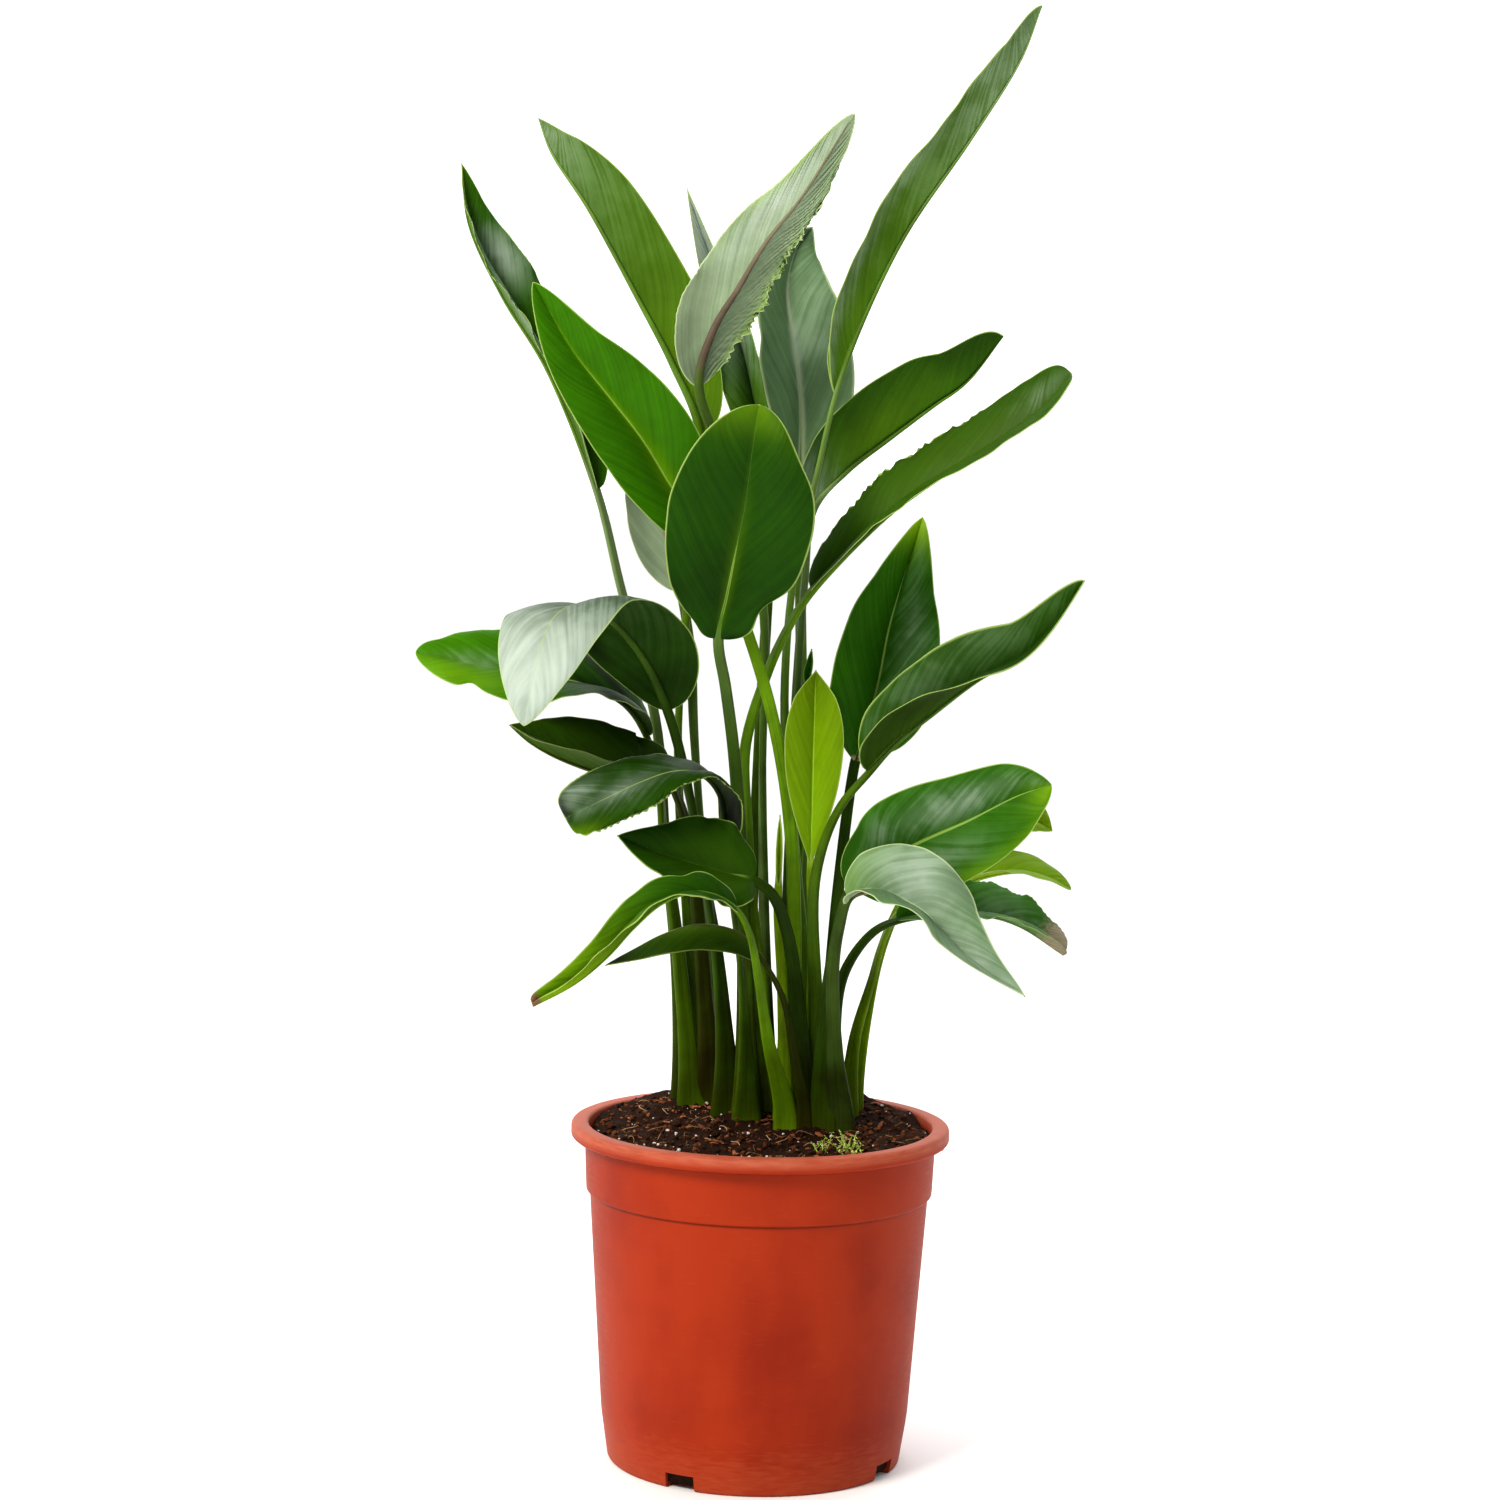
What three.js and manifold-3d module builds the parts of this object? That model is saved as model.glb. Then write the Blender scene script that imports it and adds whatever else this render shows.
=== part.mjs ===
// Potted bird of paradise: a clump of leaves in five fans, standing in a plastic nursery pot.
// Millimetres, +Z up. The origin is the centre of the pot's foot, and -Y is the front.
import * as THREE from "three";
import { mergeVertices } from "three/addons/utils/BufferGeometryUtils.js";
import Module from "manifold-3d";

const wasm = await Module();
wasm.setup();

// Pot
const RIM_RADIUS = 120;
const RIM_TOP = 216;
const LIP_HEIGHT = 9.5;
const LIP_ROUND = 2.5;
const COLLAR_TOP_RADIUS = 111.3;
const COLLAR_FOOT_RADIUS = 109.8;
const COLLAR_FOOT = 173;
const STEP_HEIGHT = 1.8;
const BODY_TOP_RADIUS = 107.4;
const RING_RADIUS = 98;
const RING_HEIGHT = 31;
const FOOT_RADIUS = 93.3;
const FOOT_CHAMFER = 2.5;
const WALL = 2.4;
const FLOOR = 3;
const POT_SIDES = 48;

// Drainage slots through the foot of the wall, the first one turned a little left of the front
const SLOT_COUNT = 4;
const SLOT_WIDTH = 20;
const SLOT_HEIGHT = 10;
const SLOT_DEPTH = 22;
const FIRST_SLOT_ANGLE = -119;

// Soil: higher at the back and round the stems
const GAP = 0.3;
const WALL_GAP = 0.6;
const SOIL_TOP = 206.5;
const SOIL_SLOPE = 0.045;
const SOIL_BACK_SLOPE = 0.055;
const SOIL_MOUND = 3;
const SOIL_MOUND_REACH = 62;
const SOIL_LUMP = 1.1;
const SOIL_RINGS = 5;
const SOIL_SIDES = 24;

// Stalks below the soil, and the crown that they rise from
const CROWN_TOP = 178;
const STRAIGHT_TOP = 219;
const CROWN_DEPTH = 22;
const ROOT_SIDES = 5;

// Leaves
const STALK_HALF_WIDTH = 5.4;
const STALK_HALF_DEPTH = 4.2;
const STALK_TAPER = 0.62;
const BLADE_THICKNESS = 1.1;
const KEEL = 2.6;
const WIDEST = 0.4;
const BLUNT = 0.9;
const BASE = 0.5;
const JOIN = 0.1;
const BOW = 9;
const STALK_RINGS = 6;
const BLADE_RINGS = 13;

const AXIS_Y = new THREE.Vector3(0, 1, 0);

// Colours
const COLOURS = {
  pot: 0xb8442c,
  soil: 0x2d1912,
  root: 0xc9a878,
  deep: 0x28560f,
  mid: 0x3d7a1c,
  bright: 0x4c8f14,
  lime: 0x82b312,
  blue: 0x5f8a72,
  olive: 0x4a5c16,
};

// One row for each leaf. foot is where the stalk leaves the crown (x, y). stalk and rib are points
// (x, y, z): the stalk's, above the soil, and the midrib's, from the foot of the blade to its tip.
// half is the blade's half width. turn says where the upper face looks, in degrees along the blade:
// 0 to the front, 90 to the leaf's own left, 180 to the back. fold is how far each half rises from
// flat. wave is [degrees, count] of the margins' waves, torn is [share of the width, tears].
// A leaf that arches over to the front has face, the way its upper face looks as (x, y, z), not turn.
// blunt rounds the tip where it is small, base draws the blade's foot in where it is large, and
// widest is how far along the blade is widest.
const LEAVES = [
  {
    name: "leaf_01_outer_left", colour: "mid", foot: [-51, 70],
    stalk: [[-57, 76, 310], [-66, 84, 380], [-74, 90, 462], [-99, 96, 550]],
    rib: [[-116, 98, 613], [-150, 102, 692], [-180, 105, 738], [-203, 108, 784], [-209, 110, 824]],
    half: 29, turn: [-50, -56, -50], fold: [50, 42, 40], wave: [10, 3], torn: [0.1, 5],
  },
  {
    name: "leaf_02_upper_left", colour: "mid", foot: [-41, 81],
    stalk: [[-50, 90, 330], [-59, 96, 440], [-54, 97, 560]],
    rib: [[-49, 96, 650], [-68, 94, 696], [-89, 95, 734], [-125, 100, 796], [-150, 105, 832],
      [-159, 108, 854]],
    half: 37, turn: [-125, -125, -120], fold: [55, 55, 50], wave: [3, 2],
  },
  {
    name: "leaf_03_back_narrow", colour: "mid", foot: [-12, 66],
    stalk: [[-9, 80, 330], [-5, 100, 480], [-2, 111, 580]],
    rib: [[-4, 114, 629], [-14, 118, 672], [-22, 122, 706], [-39, 128, 752], [-62, 136, 813]],
    half: 30, turn: [5, 10, 10], fold: [55, 62, 65], wave: [4, 2],
  },
  {
    name: "leaf_04_grey_toothed", colour: "blue", foot: [5, 52],
    stalk: [[0, 46, 330], [-4, 42, 434], [-6, 30, 545], [-24, 12, 620]],
    rib: [[-49, 2, 680], [-41, -2, 715], [-26, -10, 741], [-9, -18, 770], [12, -26, 797], [43, -36, 848]],
    half: 29, turn: [172, 175, 178], fold: [12, 14, 12], wave: [6, 4], torn: [0.09, 7],
    widest: 0.32, rings: 18, base: 0.7, blunt: 0.6,
  },
  {
    name: "leaf_05_bright_left", colour: "bright", foot: [17, 29],
    stalk: [[19, 20, 326], [14, 2, 410], [1, -16, 478], [-16, -24, 531]],
    rib: [[-36, -28, 578], [-63, -30, 616], [-83, -33, 647], [-104, -36, 673], [-126, -40, 700],
      [-151, -44, 741]],
    half: 35, turn: [-10, -10, -5], fold: [32, 28, 24], wave: [3, 2], blunt: 0.7,
  },
  {
    name: "leaf_06_centre_oval", colour: "deep", foot: [-9, 34],
    stalk: [[-13, 24, 330], [-17, 10, 396], [-22, -12, 452], [-28, -34, 495]],
    rib: [[-33, -50, 526], [-28, -57, 554], [-23, -64, 582], [-18, -72, 610], [-15, -80, 638],
      [-11, -86, 669]],
    half: 47, turn: [5, 8, 8], fold: [18, 12, 16], wave: [3, 2], blunt: 0.5, widest: 0.55,
  },
  {
    name: "leaf_07_tallest", colour: "mid", foot: [29, 40],
    stalk: [[27, 35, 300], [18, 26, 388], [9, 10, 485], [14, -8, 574], [24, -14, 620]],
    rib: [[36, -12, 677], [49, -4, 716], [77, 4, 777], [117, 8, 838], [147, 9, 888], [159, 8, 921]],
    half: 26, turn: [92, 95, 92], fold: [58, 56, 54], wave: [7, 4], blunt: 0.6, base: 0.8,
  },
  {
    name: "leaf_08_back_blue", colour: "blue", foot: [29, 51],
    stalk: [[27, 58, 330], [22, 64, 450], [18, 68, 560]],
    rib: [[16, 68, 622], [15, 70, 676], [9, 76, 714], [5, 82, 746], [10, 88, 771], [21, 92, 787]],
    half: 38, turn: [-22, -24, -20], fold: [30, 30, 26], wave: [6, 3], widest: 0.3,
  },
  {
    name: "leaf_09_right_folded", colour: "deep", foot: [17, 40],
    stalk: [[15, 42, 310], [16, 35, 430], [17, 28, 500], [20, 22, 560]],
    rib: [[25, 18, 606], [45, 14, 630], [71, 9, 651], [98, 4, 672], [118, 0, 687], [140, -4, 716]],
    half: 38, turn: [90, 95, 92], fold: [58, 64, 60], wave: [2, 2], blunt: 0.42,
  },
  {
    name: "leaf_10_right_torn", colour: "mid", foot: [3, 41],
    stalk: [[-2, 34, 300], [-9, 28, 350], [-13, 21, 403], [-15, 12, 454], [-2, -1, 503], [12, -20, 536]],
    rib: [[24, -34, 556], [58, -46, 594], [77, -52, 611], [103, -60, 630], [135, -66, 651], [160, -70, 671],
      [177, -75, 692]],
    half: 32, turn: [66, 66, 60], fold: [28, 22, 20], wave: [3, 4], torn: [0.04, 12], blunt: 0.28, rings: 22,
  },
  {
    name: "leaf_11_right_upright", colour: "deep", foot: [40, 31],
    stalk: [[43, 28, 300], [47, 22, 371]],
    rib: [[55, 17, 446], [61, 15, 469], [68, 14, 497], [74, 15, 531], [81, 18, 558], [94, 22, 602]],
    half: 42, turn: [-8, -6, -5], fold: [42, 36, 35], wave: [3, 2], blunt: 0.75, base: 0.85,
  },
  {
    name: "leaf_12_right_boat", colour: "mid", foot: [39.5, 20],
    stalk: [[33, 6, 300], [31, -14, 376], [44, -28, 420]],
    rib: [[62, -33, 444], [78, -38, 463], [101, -44, 483], [127, -50, 504], [159, -56, 524], [190, -60, 567]],
    half: 33, turn: [84, 70, 52, 48], fold: [56, 54, 42, 38], wave: [5, 2], blunt: 0.6,
  },
  {
    name: "leaf_13_young_lime", colour: "lime", foot: [29, 29],
    stalk: [[31, 25, 285], [30, 16, 340]],
    rib: [[28, 6, 375], [28, 2, 400], [28, -3, 430], [28, -9, 462], [28, -14, 490], [28, -17, 506]],
    half: 21, turn: [0, 0, 0], fold: [30, 26, 26], wave: [2, 2], widest: 0.6, blunt: 1.05, base: 1.6,
  },
  {
    name: "leaf_14_low_right_glossy", colour: "deep", foot: [39.5, 9],
    stalk: [[39, -2, 270], [44, -14, 330]],
    rib: [[54, -22, 370], [77, -34, 390], [92, -44, 401], [123, -60, 418], [152, -78, 436], [171, -88, 444]],
    half: 36, turn: [10, 4, 0], fold: [12, 14, 10], wave: [4, 2], blunt: 0.6,
  },
  {
    name: "leaf_15_drooping_front", colour: "blue", foot: [51, 9],
    stalk: [[46, -10, 262], [43, -28, 318], [46, -45, 349]],
    rib: [[51, -54, 368], [61, -64, 374], [73, -75, 374], [85, -85, 370], [97, -95, 364], [110, -105, 351],
      [129, -117, 337], [156, -126, 320]],
    half: 35, turn: [44, 50, 50, 54], fold: [38, 38, 32, 24], wave: [4, 3], base: 0.8,
  },
  {
    name: "leaf_16_dry_tip", colour: "deep", foot: [51, 20],
    stalk: [[46, 12, 270], [51, 4, 312], [68, 4, 338]],
    rib: [[84, 8, 346], [114, 12, 350], [140, 14, 350], [163, 15, 343], [191, 16, 325]],
    half: 27, turn: [62, 66, 76], fold: [30, 30, 34], wave: [7, 3], torn: [0.1, 5], blunt: 0.25,
  },
  {
    name: "leaf_17_right_green", colour: "lime", foot: [57, 42],
    stalk: [[60, 46, 262], [70, 50, 300], [78, 49, 330]],
    rib: [[87, 48, 347], [116, 54, 359], [136, 58, 367], [152, 61, 371], [168, 63, 372], [184, 65, 368],
      [199, 67, 361]],
    half: 24, turn: [85, 78, 72], fold: [30, 20, 15], wave: [5, 2], blunt: 0.5,
  },
  {
    name: "leaf_18_right_back", colour: "lime", foot: [60, 54],
    stalk: [[66, 62, 265], [78, 78, 320], [98, 94, 362]],
    rib: [[118, 104, 384], [143, 110, 396], [162, 112, 401], [178, 113, 400], [190, 114, 394]],
    half: 26, turn: [70, 60, 50], fold: [28, 22, 18], wave: [4, 2],
  },
  {
    name: "leaf_19_big_arch", colour: "deep", foot: [-21, 34],
    stalk: [[-30, 20, 320], [-42, 6, 388], [-55, -7, 448]],
    rib: [[-64, -16, 478], [-77, -27, 507], [-96, -42, 532], [-118, -62, 545], [-133, -84, 537],
      [-142, -98, 508], [-148, -106, 474]],
    face: [[0.4, 0.8, 0.4], [0.2, 0.6, 0.8], [-0.1, 0.1, 1], [-0.3, -0.8, 0.5], [-0.3, -1, 0.1]],
    half: 45, fold: [14, 4, -4, 6], wave: [4, 2], blunt: 0.7,
  },
  {
    name: "leaf_20_far_left_tip", colour: "bright", foot: [-45, 58],
    stalk: [[-56, 52, 320], [-66, 42, 390], [-70, 37, 430]],
    rib: [[-78, 33, 458], [-93, 28, 479], [-120, 21, 491], [-152, 15, 497], [-188, 9, 503], [-224, 4, 510]],
    half: 36, turn: [-95, -75, -45, -30], fold: [20, 14, 10], wave: [8, 3], blunt: 0.55,
  },
  {
    name: "leaf_21_left_boat", colour: "olive", foot: [-33, 60],
    stalk: [[-42, 50, 330], [-50, 40, 392], [-57, 30, 418]],
    rib: [[-66, 20, 433], [-81, 14, 433], [-104, 6, 436], [-132, -4, 446], [-150, -10, 456],
      [-163, -14, 467]],
    half: 35, turn: [-70, -72, -70], fold: [40, 40, 36], wave: [4, 2], base: 0.25,
  },
  {
    name: "leaf_22_black_edged_arch", colour: "mid", foot: [-9, 23],
    stalk: [[-13, 6, 300], [-20, -14, 355]],
    rib: [[-27, -28, 404], [-30, -37, 428], [-42, -49, 442], [-58, -59, 444], [-78, -69, 438],
      [-100, -79, 428], [-123, -88, 417]],
    half: 25, turn: [-118, -95, -45, -15], fold: [16, 8, 2, 4], wave: [5, 2], torn: [0.08, 4],
    blunt: 0.18, base: 0.22,
  },
  {
    name: "leaf_23_dark_left", colour: "deep", foot: [28, 18],
    stalk: [[22, 4, 290], [14, -18, 340], [4, -34, 366]],
    rib: [[-8, -44, 376], [-24, -52, 381], [-44, -58, 387], [-66, -64, 394], [-92, -70, 405]],
    half: 33, turn: [-40, -40, -40], fold: [20, 20, 15], wave: [5, 2],
  },
  {
    name: "leaf_24_bright_droop", colour: "bright", foot: [16, 7],
    stalk: [[4, -22, 270], [-4, -48, 318], [-10, -70, 347]],
    rib: [[-18, -84, 363], [-30, -93, 372], [-46, -100, 375], [-63, -106, 369], [-79, -112, 355],
      [-95, -118, 337], [-114, -124, 321], [-138, -130, 308]],
    half: 16, turn: [-70, -60, -50, -40], fold: [15, 30, 60, 72], wave: [10, 3], widest: 0.3, blunt: 0.18,
  },
  {
    name: "leaf_25_olive_thin", colour: "olive", foot: [28, 7],
    stalk: [[20, -8, 262], [12, -22, 300]],
    rib: [[-2, -32, 326], [-16, -38, 342], [-40, -46, 348], [-62, -54, 343], [-80, -60, 334],
      [-98, -66, 324]],
    half: 19, turn: [-90, -85, -80], fold: [-40, -45, -30], wave: [4, 2],
  },
  {
    name: "leaf_26_grey_behind", colour: "blue", foot: [-30, 90],
    stalk: [[-40, 98, 350], [-49, 106, 450], [-53, 110, 510]],
    rib: [[-60, 112, 548], [-69, 114, 580], [-75, 116, 610], [-79, 118, 640], [-82, 119, 668]],
    half: 30, turn: [180, 180, 180], fold: [35, 32, 30], wave: [4, 2],
  },
  {
    name: "leaf_27_spear", colour: "lime", foot: [16, 18],
    stalk: [[12, 16, 300], [8, 12, 350]],
    rib: [[8, 10, 366], [8, 9, 382], [8, 8, 398], [8, 8, 412]],
    half: 4.5, turn: [0, 0, 0], fold: [60, 60, 50], wave: [0, 1], rings: 8,
  },
  {
    name: "leaf_28_back_spear", colour: "bright", foot: [17, 51],
    stalk: [[19, 52, 320], [22, 47, 420], [23, 42, 480]],
    rib: [[24, 40, 492], [25, 39, 500], [26, 38, 508], [26, 37, 516]],
    half: 5, turn: [20, 20, 20], fold: [55, 55, 50], wave: [0, 1], rings: 8,
  },
];

// Crown lumps, one under each fan: x, y, radius along x, radius along y
const CROWNS = [
  { at: [-40, 70], size: [22, 24] },
  { at: [-10, 44], size: [24, 28] },
  { at: [21, 30], size: [23, 34] },
  { at: [44, 20], size: [17, 20] },
  { at: [56, 46], size: [14, 17] },
];

// Thick roots: points (x, y, z) from the crown down to near the pot's floor
const ROOTS = [
  [[-50, 76, 165], [-70, 48, 120], [-62, 16, 60], [-70, -10, 22]],
  [[-40, 84, 165], [-20, 78, 110], [-34, 64, 55], [-10, 70, 18]],
  [[-20, 44, 165], [-36, 10, 110], [-26, -34, 60], [-44, -52, 20]],
  [[-6, 34, 165], [-8, -30, 125], [-20, -66, 80], [4, -72, 24]],
  [[20, 14, 165], [36, -36, 120], [20, -60, 62], [44, -56, 20]],
  [[42, 14, 165], [72, -20, 115], [66, -44, 60], [76, -22, 22]],
  [[54, 44, 165], [78, 36, 110], [62, 58, 56], [70, 34, 20]],
  [[24, 48, 165], [40, 70, 112], [14, 78, 60], [36, 64, 18]],
];
const ROOT_RADII = [6, 5, 3.6, 1.6];

// Solid of corner positions and the triangles between them
function solidOf(vertProperties, triangles) {
  const triVerts = Uint32Array.from(triangles);
  return new wasm.Manifold(new wasm.Mesh({ numProp: 3, vertProperties, triVerts }));
}

// Closed mesh of a geometry, as a solid that can be joined and cut
function toSolid(geometry) {
  const bare = geometry.clone();
  bare.deleteAttribute("normal");
  bare.deleteAttribute("uv");
  const merged = mergeVertices(bare, 1e-4);
  const index = merged.index.array;
  const kept = [];
  for (let i = 0; i < index.length; i += 3) {
    const [a, b, c] = [index[i], index[i + 1], index[i + 2]];
    if (a !== b && b !== c && c !== a) {
      kept.push(a, b, c);
    }
  }
  const vertProperties = Float32Array.from(merged.attributes.position.array);
  const solid = solidOf(vertProperties, kept);
  if (solid.volume() > 0) {
    return solid;
  }
  for (let i = 0; i < kept.length; i += 3) {
    [kept[i + 1], kept[i + 2]] = [kept[i + 2], kept[i + 1]];
  }
  return solidOf(vertProperties, kept);
}

// Geometry of a joined or cut solid
function toGeometry(solid) {
  const mesh = solid.getMesh();
  const geometry = new THREE.BufferGeometry();
  geometry.setAttribute("position", new THREE.BufferAttribute(Float32Array.from(mesh.vertProperties), 3));
  geometry.setIndex(new THREE.BufferAttribute(Uint32Array.from(mesh.triVerts), 1));
  geometry.computeVertexNormals();
  return geometry;
}

// Geometry from a list of points and a list of triangles
function toMesh(points, triangles) {
  const geometry = new THREE.BufferGeometry();
  geometry.setFromPoints(points);
  geometry.setIndex(triangles);
  geometry.computeVertexNormals();
  return geometry;
}

// A list's value at share t of its length, with straight lines between its entries
function along(list, t) {
  const place = THREE.MathUtils.clamp(t, 0, 1) * (list.length - 1);
  const step = Math.min(Math.floor(place), list.length - 2);
  return list.length < 2 ? list[0] : THREE.MathUtils.lerp(list[step], list[step + 1], place - step);
}

function toPoint([x, y, z]) {
  return new THREE.Vector3(x, y, z);
}

// Inside radius of the pot's wall at a height
function innerRadius(z) {
  if (z >= COLLAR_FOOT) {
    const t = (z - COLLAR_FOOT) / (RIM_TOP - LIP_HEIGHT - COLLAR_FOOT);
    return THREE.MathUtils.lerp(COLLAR_FOOT_RADIUS, COLLAR_TOP_RADIUS, Math.min(t, 1)) - WALL;
  }
  if (z >= RING_HEIGHT) {
    const t = (z - RING_HEIGHT) / (COLLAR_FOOT - STEP_HEIGHT - RING_HEIGHT);
    return THREE.MathUtils.lerp(RING_RADIUS, BODY_TOP_RADIUS, Math.min(t, 1)) - WALL;
  }
  return THREE.MathUtils.lerp(FOOT_RADIUS, RING_RADIUS, z / RING_HEIGHT) - WALL;
}

// The pot: one moulded wall with a rolled rim, a collar, a step, a tapered body and a flat floor
function pot() {
  const lipFoot = RIM_TOP - LIP_HEIGHT;
  const collarTopInner = COLLAR_TOP_RADIUS - WALL;
  const profile = [
    [0, 0],
    [FOOT_RADIUS - FOOT_CHAMFER, 0],
    [FOOT_RADIUS, FOOT_CHAMFER],
    [RING_RADIUS, RING_HEIGHT],
    [BODY_TOP_RADIUS, COLLAR_FOOT - STEP_HEIGHT],
    [COLLAR_FOOT_RADIUS, COLLAR_FOOT],
    [COLLAR_TOP_RADIUS, lipFoot],
    [RIM_RADIUS - LIP_ROUND, lipFoot],
    [RIM_RADIUS, lipFoot + LIP_ROUND],
    [RIM_RADIUS, RIM_TOP - LIP_ROUND],
    [RIM_RADIUS - LIP_ROUND, RIM_TOP],
    [collarTopInner + LIP_ROUND, RIM_TOP],
    [collarTopInner, RIM_TOP - LIP_ROUND],
    [COLLAR_FOOT_RADIUS - WALL, COLLAR_FOOT],
    [BODY_TOP_RADIUS - WALL, COLLAR_FOOT - STEP_HEIGHT],
    [RING_RADIUS - WALL, RING_HEIGHT],
    [innerRadius(FLOOR), FLOOR],
    [0, FLOOR],
  ];
  const lathe = new THREE.LatheGeometry(profile.map(([r, z]) => new THREE.Vector2(r, z)), POT_SIDES);
  lathe.rotateX(Math.PI / 2);
  let solid = toSolid(lathe);
  for (let i = 0; i < SLOT_COUNT; i += 1) {
    const angle = THREE.MathUtils.degToRad(FIRST_SLOT_ANGLE + (i * 360) / SLOT_COUNT);
    const slot = new THREE.BoxGeometry(SLOT_DEPTH, SLOT_WIDTH, SLOT_HEIGHT * 2);
    slot.translate(FOOT_RADIUS, 0, 0);
    slot.rotateZ(angle);
    solid = solid.subtract(toSolid(slot));
  }
  return toGeometry(solid);
}

// Height of the soil's surface: it climbs to the back, mounds round the stems and is a little lumpy
function soilHeight(x, y) {
  const reach = Math.hypot(x - 5, y - 35) / SOIL_MOUND_REACH;
  const lump = Math.sin(x * 0.19 + 1.3) * Math.sin(y * 0.16) + Math.sin(x * 0.07 - y * 0.11);
  const slope = SOIL_SLOPE * y + SOIL_BACK_SLOPE * Math.max(0, y);
  return SOIL_TOP + slope + SOIL_MOUND * Math.exp(-reach * reach) + SOIL_LUMP * lump;
}

// The soil before it is holed for the stalks and the crown
function soilBlock() {
  const points = [];
  const triangles = [];
  const edge = innerRadius(RIM_TOP) - WALL_GAP;
  const levels = [COLLAR_FOOT + GAP, COLLAR_FOOT - STEP_HEIGHT - GAP, RING_HEIGHT, FLOOR + GAP];
  const radii = levels.map((z) => innerRadius(Math.min(z, COLLAR_FOOT)) - WALL_GAP);
  const rings = SOIL_RINGS + levels.length;
  points.push(new THREE.Vector3(0, 0, soilHeight(0, 0)));
  for (let i = 1; i <= rings; i += 1) {
    for (let k = 0; k < SOIL_SIDES; k += 1) {
      const angle = (k / SOIL_SIDES) * Math.PI * 2;
      const onTop = i <= SOIL_RINGS;
      const radius = onTop ? (edge * i) / SOIL_RINGS : radii[i - SOIL_RINGS - 1];
      const x = radius * Math.cos(angle);
      const y = radius * Math.sin(angle);
      points.push(new THREE.Vector3(x, y, onTop ? soilHeight(x, y) : levels[i - SOIL_RINGS - 1]));
    }
  }
  points.push(new THREE.Vector3(0, 0, FLOOR + GAP));
  const last = points.length - 1;
  for (let k = 0; k < SOIL_SIDES; k += 1) {
    const next = (k + 1) % SOIL_SIDES;
    triangles.push(0, 1 + k, 1 + next);
    for (let i = 0; i < rings - 1; i += 1) {
      const a = 1 + i * SOIL_SIDES;
      const b = a + SOIL_SIDES;
      triangles.push(a + k, b + k, b + next, a + k, b + next, a + next);
    }
    triangles.push(last, last - SOIL_SIDES + next, last - SOIL_SIDES + k);
  }
  return toSolid(toMesh(points, triangles));
}

// A round tapering rod through points, with its ends closed
function rod(points, radii, sides, extra) {
  const curve = new THREE.CatmullRomCurve3(points.map(toPoint));
  const steps = points.length;
  const vertices = [];
  const triangles = [];
  for (let i = 0; i <= steps; i += 1) {
    const centre = curve.getPoint(i / steps);
    const tangent = curve.getTangent(i / steps);
    const side = new THREE.Vector3().crossVectors(AXIS_Y, tangent).normalize();
    const front = new THREE.Vector3().crossVectors(side, tangent);
    const radius = along(radii, i / steps) + extra;
    for (let k = 0; k < sides; k += 1) {
      const angle = (k / sides) * Math.PI * 2;
      const offset = side.clone().multiplyScalar(radius * Math.cos(angle));
      offset.addScaledVector(front, radius * Math.sin(angle));
      vertices.push(centre.clone().add(offset));
    }
  }
  for (let i = 0; i < steps; i += 1) {
    for (let k = 0; k < sides; k += 1) {
      const next = (k + 1) % sides;
      const a = i * sides;
      const b = a + sides;
      triangles.push(a + k, b + k, b + next, a + k, b + next, a + next);
    }
  }
  for (let k = 1; k < sides - 1; k += 1) {
    const end = steps * sides;
    triangles.push(0, k, k + 1, end, end + k + 1, end + k);
  }
  return toSolid(toMesh(vertices, triangles));
}

// The crown and its roots, grown as one piece. extra makes it larger all round, for its hole
function crown(extra) {
  let solid = null;
  for (const { at, size } of CROWNS) {
    const lump = new THREE.SphereGeometry(1, 10, 6);
    lump.scale(size[0] + extra, size[1] + extra, CROWN_DEPTH + extra);
    lump.translate(at[0], at[1], CROWN_TOP - CROWN_DEPTH * 0.6);
    solid = solid ? solid.add(toSolid(lump)) : toSolid(lump);
  }
  for (const root of ROOTS) {
    solid = solid.add(rod(root, ROOT_RADII, ROOT_SIDES, extra));
  }
  const top = new THREE.BoxGeometry(RIM_RADIUS * 2, RIM_RADIUS * 2, 60);
  top.translate(0, 0, CROWN_TOP - GAP + extra + 30);
  return solid.subtract(toSolid(top));
}

// Cross section of the stalk: a round belly and a shallow channel on the upper face
function stalkSection(width, depth) {
  const across = [-1, -0.62, 0, 0.62, 1];
  const above = [0.3, 0.85, 0.72, 0.85, 0.3];
  const below = [-0.3, -0.85, -1, -0.85, -0.3];
  return {
    upper: across.map((u, i) => [u * width, above[i] * depth]),
    under: across.map((u, i) => [u * width, below[i] * depth]),
  };
}

// Cross section of the blade: two bowed halves that fold up from a midrib with a keel below
function bladeSection(widths, folds, keel) {
  const upper = [];
  const under = [];
  const half = BLADE_THICKNESS / 2;
  for (const side of [0, 1]) {
    const sign = side === 0 ? -1 : 1;
    const inner = THREE.MathUtils.degToRad(folds[side] + BOW);
    const outer = THREE.MathUtils.degToRad(folds[side] - BOW + folds[side + 2]);
    const step = widths[side] / 2;
    const mid = [step * Math.cos(inner), step * Math.sin(inner)];
    const margin = [mid[0] + step * Math.cos(outer), mid[1] + step * Math.sin(outer)];
    const points = [
      [margin, outer],
      [mid, (inner + outer) / 2],
    ];
    const row = points.map(([p, a]) => ({
      up: [sign * (p[0] - half * Math.sin(a)), p[1] + half * Math.cos(a)],
      down: [sign * (p[0] + half * Math.sin(a)), p[1] - half * Math.cos(a)],
    }));
    if (side === 1) {
      upper.push([0, half]);
      under.push([0, -half - keel]);
      row.reverse();
    }
    upper.push(...row.map((p) => p.up));
    under.push(...row.map((p) => p.down));
  }
  return { upper, under };
}

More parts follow.
